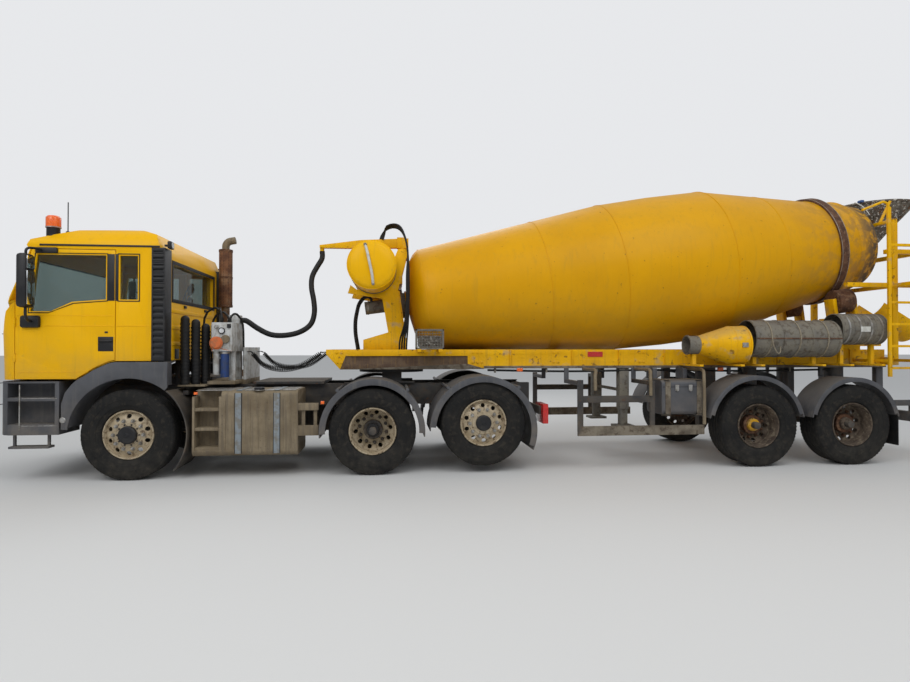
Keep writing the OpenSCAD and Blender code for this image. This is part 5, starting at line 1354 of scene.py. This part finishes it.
def guard_side(side):
    """Mud flap and rear lamps of one side of the trailer."""
    return blocks(side, ("black_rubber", 0.003, (9.652, 0.85, 0.25), (9.664, 1.255, 0.69)),
                  ("bare_metal", 0.002, (9.664, 0.87, 0.64), (9.67, 1.235, 0.67)),
                  ("red_lens", 0.01, (10.558, 0.76, 0.485), (10.586, 0.9, 0.595)),
                  ("amber_lens", 0.01, (10.558, 0.905, 0.485), (10.586, 1.01, 0.595)),
                  ("red_lens", 0.01, (10.558, 1.015, 0.485), (10.586, 1.13, 0.595)),
                  ("black_plastic", 0.004, (10.556, 0.75, 0.476), (10.57, 1.14, 0.604)))


def guard_fittings():
    """Hook pipes, flaps, rear lamps and blank plate of the trailer's guards."""
    pipes = [hose("tank_paint", [(x + 0.05, -0.6, 1.246), (x + 0.05, -0.9, 1.246), (x + 0.03, -1.15, 1.235),
                                 (x, -1.222, 1.17), (x, -1.228, 1.05), (x, -1.228, low)], 0.021, 10, 8)
             for x, low in ((5.56, 1.0), (6.28, 0.93), (6.99, 0.56))]
    return [pipes, both(guard_side),
            lump("sight_white", (10.558, -0.26, 0.485), (10.566, 0.26, 0.595), 0.002)]


def toolbox_fittings():
    """Straps, lid seam and latches of the toolbox."""
    rows = [("black_rubber", 0.001, (6.46, -1.1825, 1.03), (7.02, -1.178, 1.036))]
    for x0, x1 in ((6.496, 6.564), (6.916, 6.984)):
        rows += [("dirty_flange", 0.003, (x0, -1.188, 0.69), (x1, -1.178, 1.105)),
                 ("dirty_flange", 0.003, (x0, -1.185, 1.118), (x1, -0.7, 1.126)),
                 ("dirty_flange", 0.003, (x0, -1.185, 0.672), (x1, -0.7, 0.681))]
    made = []
    for x in (6.65, 6.83):
        rows.append(("bare_metal", 0.005, (x - 0.025, -1.192, 0.985), (x + 0.025, -1.179, 1.06)))
        made.append(bar("bare_metal", (x, -1.2, 0.99), (x, -1.18, 0.99), 0.012, 12))
    return made + blocks(RIGHT, *rows)


def tank_trim():
    """Straps, seams, sight strip and filler neck of the water tank."""
    made = [hoop(make, (TANK_X, y, TANK_Z), Y_AXIS, *values, 64) for make, y, *values in (
        ("grey_paint", -0.47, 0.3005, 0.006, 0.06), ("grey_paint", 0.47, 0.3005, 0.006, 0.06),
        ("yellow_paint", -1.056, 0.298, 0.0065, 0.012), ("yellow_paint", 1.056, 0.298, 0.0065, 0.012),
        ("yellow_paint", 0, 0.298, 0.0065, 0.012))]
    made.append(hose("sight_white", [(2.7, -1.092, 2.81), (2.735, -1.136, 2.68), (2.76, -1.146, 2.56),
                                     (2.785, -1.136, 2.44), (2.8, -1.096, 2.315)], 0.017, 10))
    made += [disc("bare_metal", (x, -1.075, z), OUT_LEFT, 0.02, 0.04, 0.004, 16)
             for z, x in ((2.8, 2.703), (2.32, 2.799))]
    return made + [disc("bare_metal", (TANK_X, 0.2, 2.855), Z_AXIS, 0.085, 0.05, 0.006),
                   disc("yellow_paint", (TANK_X, 0.2, 2.902), Z_AXIS, 0.1, 0.016, 0.005)]


def gearbox_lines():
    """Pressure lines from the drum's motor down to the frame, with a clamp and a cap."""
    made = [hose("black_rubber", [(2.755, y, 2.2 - 0.02 * i), (2.7, y * 1.3, 2.25), (2.6, y * 1.8, 2.19),
                                  (2.54, y * 2.2, 2.02), (2.52, y * 2.6, 1.8), (2.56, y * 3, 1.5)],
                 0.015, 8, 8)
            for i, y in enumerate((-0.085, -0.028, 0.032, 0.09))]
    return made + [hoop("bare_metal", (2.7, 0, 2.093), X_AXIS, 0.09, 0.006, 0.02, 24),
                   disc("bare_metal", (2.95, -0.16, 2.23), (0, -0.6, 0.8), 0.035, 0.03)]


def hopper_pieces():
    """Round feed hopper with its rim, ribs, beam, pan and spout under dried concrete."""
    profile = [(0, 0.2), (0.04, 0.205), (0.59, 0.52), (0.595, 0.54), (0.62, 0.54), (0.622, 0.52),
               (0.6, 0.508), (0.045, 0.192), (0, 0.188)]
    bowl = spun(profile, spot(10.19, 0, HOPPER_FOOT), Z_AXIS, 64)
    for vertex in bowl.data.vertices:
        vertex.co.x += HOPPER_LEAN * (vertex.co.z - HOPPER_FOOT) / HOPPER_HIGH
    paint_with(bowl, "cement_crust")
    pan = copied("hopper", "rust_brown", 0.0)
    for vertex in pan.data.vertices:
        vertex.select = vertex.co.z > 2.95
    bpy.ops.object.mode_set(mode="EDIT")
    bpy.ops.mesh.delete(type="VERT")
    bpy.ops.object.mode_set(mode="OBJECT")
    made = [bowl, pan]
    for angle in (60, 120, 180, 240, 300):
        c, n = math.cos(math.radians(angle)), math.sin(math.radians(angle))
        made.append(bar("cement_crust", (10.215 + 0.215 * c, 0.215 * n, 3.125),
                        (10.4 + 0.52 * c, 0.52 * n, 3.66), 0.012, 8))
    for side in SIDES:
        for pair in (((10.02, 0.56, 3.32), (10.24, 0.505, 3.665)),
                     ((10.03, 0.25, 3.32), (10.08, 0.22, 3.23))):
            made.append(bar("worn_yellow", *on_side(side, *pair), 0.02, 12))
    return made + [lump("worn_yellow", (9.991, -0.83, 3.3), (10.055, 0.83, 3.34), 0.004),
                   lump("strap_blue", (9.935, -0.33, 3.69), (9.99, -0.25, 3.725), 0.01),
                   hose("sight_white", [(9.9, -0.25, 3.7), (9.93, -0.33, 3.64), (9.96, -0.39, 3.56),
                                        (9.99, -0.42, 3.48)], 0.008, 6)]


def stowed_bands():
    """Hoops, seams, rope and blank label of the stowed chutes and trunk."""
    rows = [(("grey_paint", x, 1.655), (0.2445, 0.006, 0.03)) for x in (7.745, 8.12, 8.52, 8.895)]
    rows += [(("rope_fibre", x, 1.655), (0.245, 0.012, 0.014)) for x in (7.93, 8.33, 8.72)]
    rows += [(("bare_metal" if i % 2 else "grey_paint", 8.985 + 0.078 * i, 1.785), (0.2045, 0.006, 0.022))
             for i in range(9)]
    made = [hoop(make, (x, STOW_Y, z), X_AXIS, *sizes, 48) for (make, x, z), sizes in rows]
    made += [lump("rust_brown", (7.725, STOW_Y + side * 0.24, 1.647), (8.915, STOW_Y + side * 0.256, 1.663))
             for side in SIDES]
    return made + [lump("sight_white", (9.21, -1.172, 1.745), (9.35, -1.162, 1.815)),
                   hose("rope_fibre", [(7.93, -1.214, 1.66), (7.96, -1.219, 1.52), (8.02, -1.212, 1.46),
                                       (8.06, -1.19, 1.55)], 0.007, 6)]


def funnel_bands():
    """Hoops and latch of the stowed funnel."""
    rows = (("worn_yellow", 7.655, 0.2495, 0.008, 0.02, 48), ("worn_yellow", 7.464, 0.2485, 0.004, 0.01, 48),
            ("grey_paint", 6.9, 0.1195, 0.008, 0.024, 40), ("worn_yellow", 7.045, 0.1195, 0.005, 0.01, 40))
    return [[hoop(make, (x, STOW_Y, 1.57), X_AXIS, *sizes) for make, x, *sizes in rows],
            lump("bare_metal", (7.52, -1.222, 1.54), (7.6, -1.208, 1.6), 0.004)]


def drum_hoops(make, depth, wide, *rings):
    """Hoops round the drum, from their stations along its axis and radii."""
    return [hoop(make, on_axis(s), DRUM_AXIS, radius, depth, wide, settings().drum_steps)
            for s, radius in rings]


def drum_welds():
    """Weld beads between the drum's sheets."""
    return drum_hoops("drum_paint", 0.0075, 0.012, (0.13, 0.718), (1.76, 0.9228), (2.75, 1.047),
                      (4.25, 1.077), (5.1, 0.9155))


def ring_edges():
    """Bright edges of the drum's running ring."""
    return drum_hoops("bare_metal", 0.005, 0.007, (5.9545, 0.7955), (6.0555, 0.7955))


def side_markers():
    """Amber lamps on the tractor's left side."""
    return blocks(LEFT, ("amber_lens", 0.004, (0.735, 1.238, 0.985), (0.778, 1.226, 1.015)),
                  ("amber_lens", 0.005, (2.19, 1.262, 0.865), (2.232, 1.24, 0.9)))


# Separate trim pieces. Columns: name, maker, body, slot, replaced nodes
TRIM = (
    ("water_tank_trim", tank_trim, "trailer", "grey_metal"),
    ("motor_lines", gearbox_lines, "trailer", "hose_rubber"),
    ("drum_welds", drum_welds, "drum", "yellow_paint"),
    ("ring_edges", ring_edges, "drum", "grey_metal"),
    ("hopper_dress", hopper_pieces, "trailer", "grey_metal", ("hopper",)),
    ("stowed_bands", stowed_bands, "trailer", "grey_metal"),
    ("funnel_bands", funnel_bands, "trailer", "yellow_paint"),
    ("side_markers", side_markers, "tractor", "amber_lens"),
)


def loop_route(off):
    """Route of one of the hoses that loop from the arm down to the trailer, standing off the first."""
    return ((2.86 + off / 2, -0.02 - off / 2, 3.05), (2.885 + off / 2, -0.03 - off / 2, 3.12 + off / 4),
            (2.95, -0.07 - off, 3.185 + off / 3), (3.05, -0.14 - off, 3.205 + off / 3),
            (3.145, -0.24 - off, 3.15 + off / 3), (3.21, -0.36 - off / 2, 3.01),
            (3.24, -0.48 - off / 3, 2.8), (3.252 - off / 3, -0.59 - off / 3, 2.5),
            (3.25 - off / 3, -0.64 - off / 3, 2.15), (3.24 - off / 2, -0.64 - off / 3, 1.85),
            (3.225 - off, -0.6, 1.64), (3.22 - off, -0.56, 1.508))


class LORRY_OT_trailer(bpy.types.Operator):
    """Fittings, guards, tank, drum, hopper and stowed pieces of the trailer, and side lamps"""

    bl_idname = "lorry.trailer"
    bl_label = "Trailer"

    def execute(self, context):
        dressed("trailer_frame", "worn_yellow", "yellow_paint", 0.004,
                patches=[("brown_recess", (2.4, -0.614, 1.3), (4.05, -0.554, 1.44)),
                         ("brown_recess", (2.4, 0.554, 1.3), (4.05, 0.614, 1.44)),
                         ("dirty_flange", (2.0, -0.64, 1.2), (10.7, 0.64, 1.293))],
                extras=frame_fittings())
        dressed("trailer_guards", "grey_plastic", "dark_plastic", 0.005,
                patches=[("dirty_flange", (5.38, -1.24, 0.4), (7.05, 1.24, 0.57)),
                         ("chassis_black", (5.38, -1.24, 0.571), (7.05, 1.24, 1.15))],
                extras=guard_fittings())
        dressed("toolbox", "grey_plastic", "grey_metal", 0.01, extras=toolbox_fittings())
        dressed("stowed_funnel", "worn_yellow", "yellow_paint", 0.0,
                patches=[("grey_paint", (6.86, -1.15, 1.4), (7.044, -0.75, 1.75))])
        dressed("stowed_chutes", "grey_paint", "grey_metal", 0.0)
        for name, pieces, *rest in TRIM:
            fitted(name, pieces(), *rest)
        for i in range(4):
            path = eased([spot(*p) for p in loop_route(LOOP_GAP * i)], 0.055)
            cord_of(f"loop_hose_{i + 1}", path, 0.012, 8, ("trailer",))
        return {"FINISHED"}


# Frame nodes that keep their shape

# Columns: node, finish, slot, edge rounding
KEPT_NODES = (
    ("tractor_frame", "chassis_black", "dark_metal", 0.004),
    ("engine_block", "chassis_black", "cast_engine", 0.02),
    ("front_axle", "chassis_black", "dark_metal", 0.006),
    ("rear_axles", "chassis_black", "dark_metal", 0.005),
    ("front_bumper", "grey_plastic", "dark_plastic", 0.012),
    ("battery_box", "chassis_black", "dark_metal", 0.012),
    ("fifth_wheel", "chassis_black", "dark_metal", 0.006),
    ("tractor_mudguards", "grey_plastic", "dark_plastic", 0.005),
    ("grille", "black_plastic", "black_plastic", 0.003),
    ("cab_arches", "grey_plastic", "dark_plastic", 0.006),
    ("air_intake", "black_plastic", "black_plastic", 0.003),
    ("dashboard", "black_plastic", "black_plastic", 0.01),
    ("knuckle_left", "chassis_black", "dark_metal", 0.004),
    ("knuckle_right", "chassis_black", "dark_metal", 0.004),
    ("drum_pedestal", "worn_yellow", "yellow_paint", 0.005),
    ("drum_gearbox", "grey_paint", "dark_metal", 0.006),
    ("water_tank", "yellow_paint", "yellow_paint", 0.006),
    ("hose_arm", "worn_yellow", "yellow_paint", 0.006),
    ("drum_shell", "drum_paint", "yellow_paint", 0.0),
    ("drum_ring", "rust_brown", "exhaust_rust", 0.004),
    ("roller_left", "rust_brown", "exhaust_rust", 0.006),
    ("roller_right", "rust_brown", "exhaust_rust", 0.006),
    ("rear_tower", "worn_yellow", "yellow_paint", 0.004),
    ("ladder", "worn_yellow", "yellow_paint", 0.004),
    ("trailer_axles", "chassis_black", "dark_metal", 0.005),
    ("landing_legs", "grey_paint", "grey_metal", 0.005),
    ("chute_post", "worn_yellow", "yellow_paint", 0.004),
    ("chute", "worn_yellow", "yellow_paint", 0.0),
)


# Hoses and cables between the trailer and the tractor

# The main hose's route from the arm's nozzle down to the valve block, as in the part's source
MAIN_HOSE_ROUTE = (
    (2.06, 0, 2.88), (2.06, 0, 2.78), (1.995, -0.02, 2.66), (1.93, -0.04, 2.52), (1.925, -0.07, 2.36),
    (1.96, -0.11, 2.19), (1.975, -0.15, 2.01), (1.93, -0.19, 1.85), (1.79, -0.23, 1.745),
    (1.6, -0.26, 1.7), (1.42, -0.29, 1.71), (1.26, -0.32, 1.79), (1.12, -0.35, 1.89),
    (1.05, -0.35, 1.89))
MAIN_HOSE_R = 0.036
# Side places of the coiled cables, and how much lower each hangs
COILED_CABLES = ((-0.48, 0), (-0.39, 0.025), (0.39, 0), (0.48, 0.025))
COIL_R, CABLE_R, COIL_PITCH = 0.023, 0.005, 0.0235
# Straight run at each end of a coil, and points of its line for each turn
COIL_END, COIL_POINTS = 0.05, 14
# Points laid between two given ones, and how often the curve is eased
FINE_STEPS, EASINGS = 40, 60


def eased(points, step):
    """Points at even steps along a smooth curve through the given ones."""
    points = [Vector(p) for p in points]
    ends = [points[0] * 2 - points[1]] + points + [points[-1] * 2 - points[-2]]
    fine = []
    for a, b, c, d in zip(ends, ends[1:], ends[2:], ends[3:]):
        for t in [i / FINE_STEPS for i in range(FINE_STEPS)]:
            fine.append(0.5 * (2 * b + (c - a) * t + (2 * a - 5 * b + 4 * c - d) * t * t
                               + (3 * b - a - 3 * c + d) * t ** 3))
    fine.append(points[-1])
    for _ in range(EASINGS):
        fine[1:-1] = [(a + 2 * b + c) / 4 for a, b, c in zip(fine, fine[1:], fine[2:])]
    run = [0.0]
    for a, b in zip(fine, fine[1:]):
        run.append(run[-1] + (b - a).length)
    count = max(2, round(run[-1] / step))
    even, i = [], 0
    for k in range(count + 1):
        goal = run[-1] * k / count
        while i < len(run) - 2 and run[i + 1] < goal:
            i += 1
        part = (goal - run[i]) / max(run[i + 1] - run[i], 1e-9)
        even.append(fine[i].lerp(fine[i + 1], min(part, 1.0)))
    return even


def path_length(path):
    return sum((b - a).length for a, b in zip(path, path[1:]))


def coiled_path(line):
    """A helix round a line, that opens out of its straight ends."""
    path, swept, walked, frame_out = [], 0.0, 0.0, Vector(Y_AXIS)
    whole = path_length(line)
    for a, b in zip(line, line[1:]):
        along = (b - a).normalized()
        out = (frame_out - along * frame_out.dot(along)).normalized()
        side = along.cross(out)
        near_end = min(walked, whole - walked)
        reach = COIL_R * min(1.0, max(0.0, (near_end - COIL_END) / COIL_END))
        path.append(a + (out * math.cos(swept) + side * math.sin(swept)) * reach)
        swept += math.tau * (b - a).length / COIL_PITCH * (reach / COIL_R) ** 2
        walked += (b - a).length
    path.append(line[-1])
    return path


def cord_of(name, path, radius, sides, bodies, node=None):
    """A hose that goes back into the object.

    It rides on one body; between two, it stays where it is made.
    """
    piece = tube(path, radius, sides, bend=False)
    piece.name = piece.data.name = name
    paint_with(smooth(piece, 60), "black_rubber")
    if len(bodies) == 2:
        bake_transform(piece)
    else:
        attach(piece, bodies[0])
    if node:
        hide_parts(node)


class LORRY_OT_cords(bpy.types.Operator):
    """Hose and coiled cables between trailer and tractor"""

    bl_idname = "lorry.cords"
    bl_label = "Hoses and cables"

    def execute(self, context):
        path = eased([spot(*p) for p in MAIN_HOSE_ROUTE], 0.03)
        cord_of("main_hose_dress", path, MAIN_HOSE_R, 16, ("tractor", "trailer"),
                "main_hose")
        for i, (y, drop) in enumerate(COILED_CABLES):
            route = ((1.13, 0.75 * y, 1.48), (1.18, 0.75 * y, 1.48), (1.24, 0.8 * y, 1.42 - drop / 2),
                     (1.32, 0.85 * y, 1.34 - drop), (1.44, 0.9 * y, 1.285 - drop),
                     (1.58, 0.95 * y, 1.265 - drop), (1.72, y, 1.275 - drop), (1.86, y, 1.32 - drop),
                     (1.98, y, 1.39 - drop / 2), (2.08, y, 1.455), (2.13, y, 1.475), (2.18, y, 1.475))
            path = coiled_path(eased([spot(*p) for p in route], COIL_PITCH / COIL_POINTS))
            cord_of(f"coiled_cable_{i + 1}", path[::-1], CABLE_R, 8, ("tractor", "trailer"),
                    "coiled_cables" if i == 0 else None)
        return {"FINISHED"}


class LORRY_OT_frame_nodes(bpy.types.Operator):
    """Rounded, finished copies of the frame's own pieces"""

    bl_idname = "lorry.frame_nodes"
    bl_label = "Frame pieces"

    def execute(self, context):
        for row in KEPT_NODES:
            dressed(*row)
        return {"FINISHED"}


class LORRY_PT_panel(bpy.types.Panel):
    """Lists the steps that build the lorry's looks"""

    bl_idname = "LORRY_PT_panel"
    bl_label = "Mixer Lorry"
    bl_space_type = "VIEW_3D"
    bl_region_type = "UI"
    bl_category = "Mixer Lorry"

    def draw(self, context):
        for name in LorrySettings.__annotations__:
            self.layout.prop(context.scene.lorry, name)
        for step in STEPS:
            self.layout.operator(step.bl_idname)


STEPS = (LORRY_OT_stage, LORRY_OT_cords, LORRY_OT_frame_nodes, LORRY_OT_wheels, LORRY_OT_cab,
         LORRY_OT_tractor, LORRY_OT_trailer)
CLASSES = (LorrySettings, *STEPS, LORRY_PT_panel)


def register():
    for one in CLASSES:
        bpy.utils.register_class(one)
    bpy.types.Scene.lorry = PointerProperty(type=LorrySettings)


def unregister():
    del bpy.types.Scene.lorry
    for one in reversed(CLASSES):
        bpy.utils.unregister_class(one)


def main():
    register()
    bpy.context.scene.view_settings.view_transform = "Standard"
    for step in STEPS:
        group, name = step.bl_idname.split(".")
        getattr(getattr(bpy.ops, group), name)()


if __name__ == "__main__":
    main()
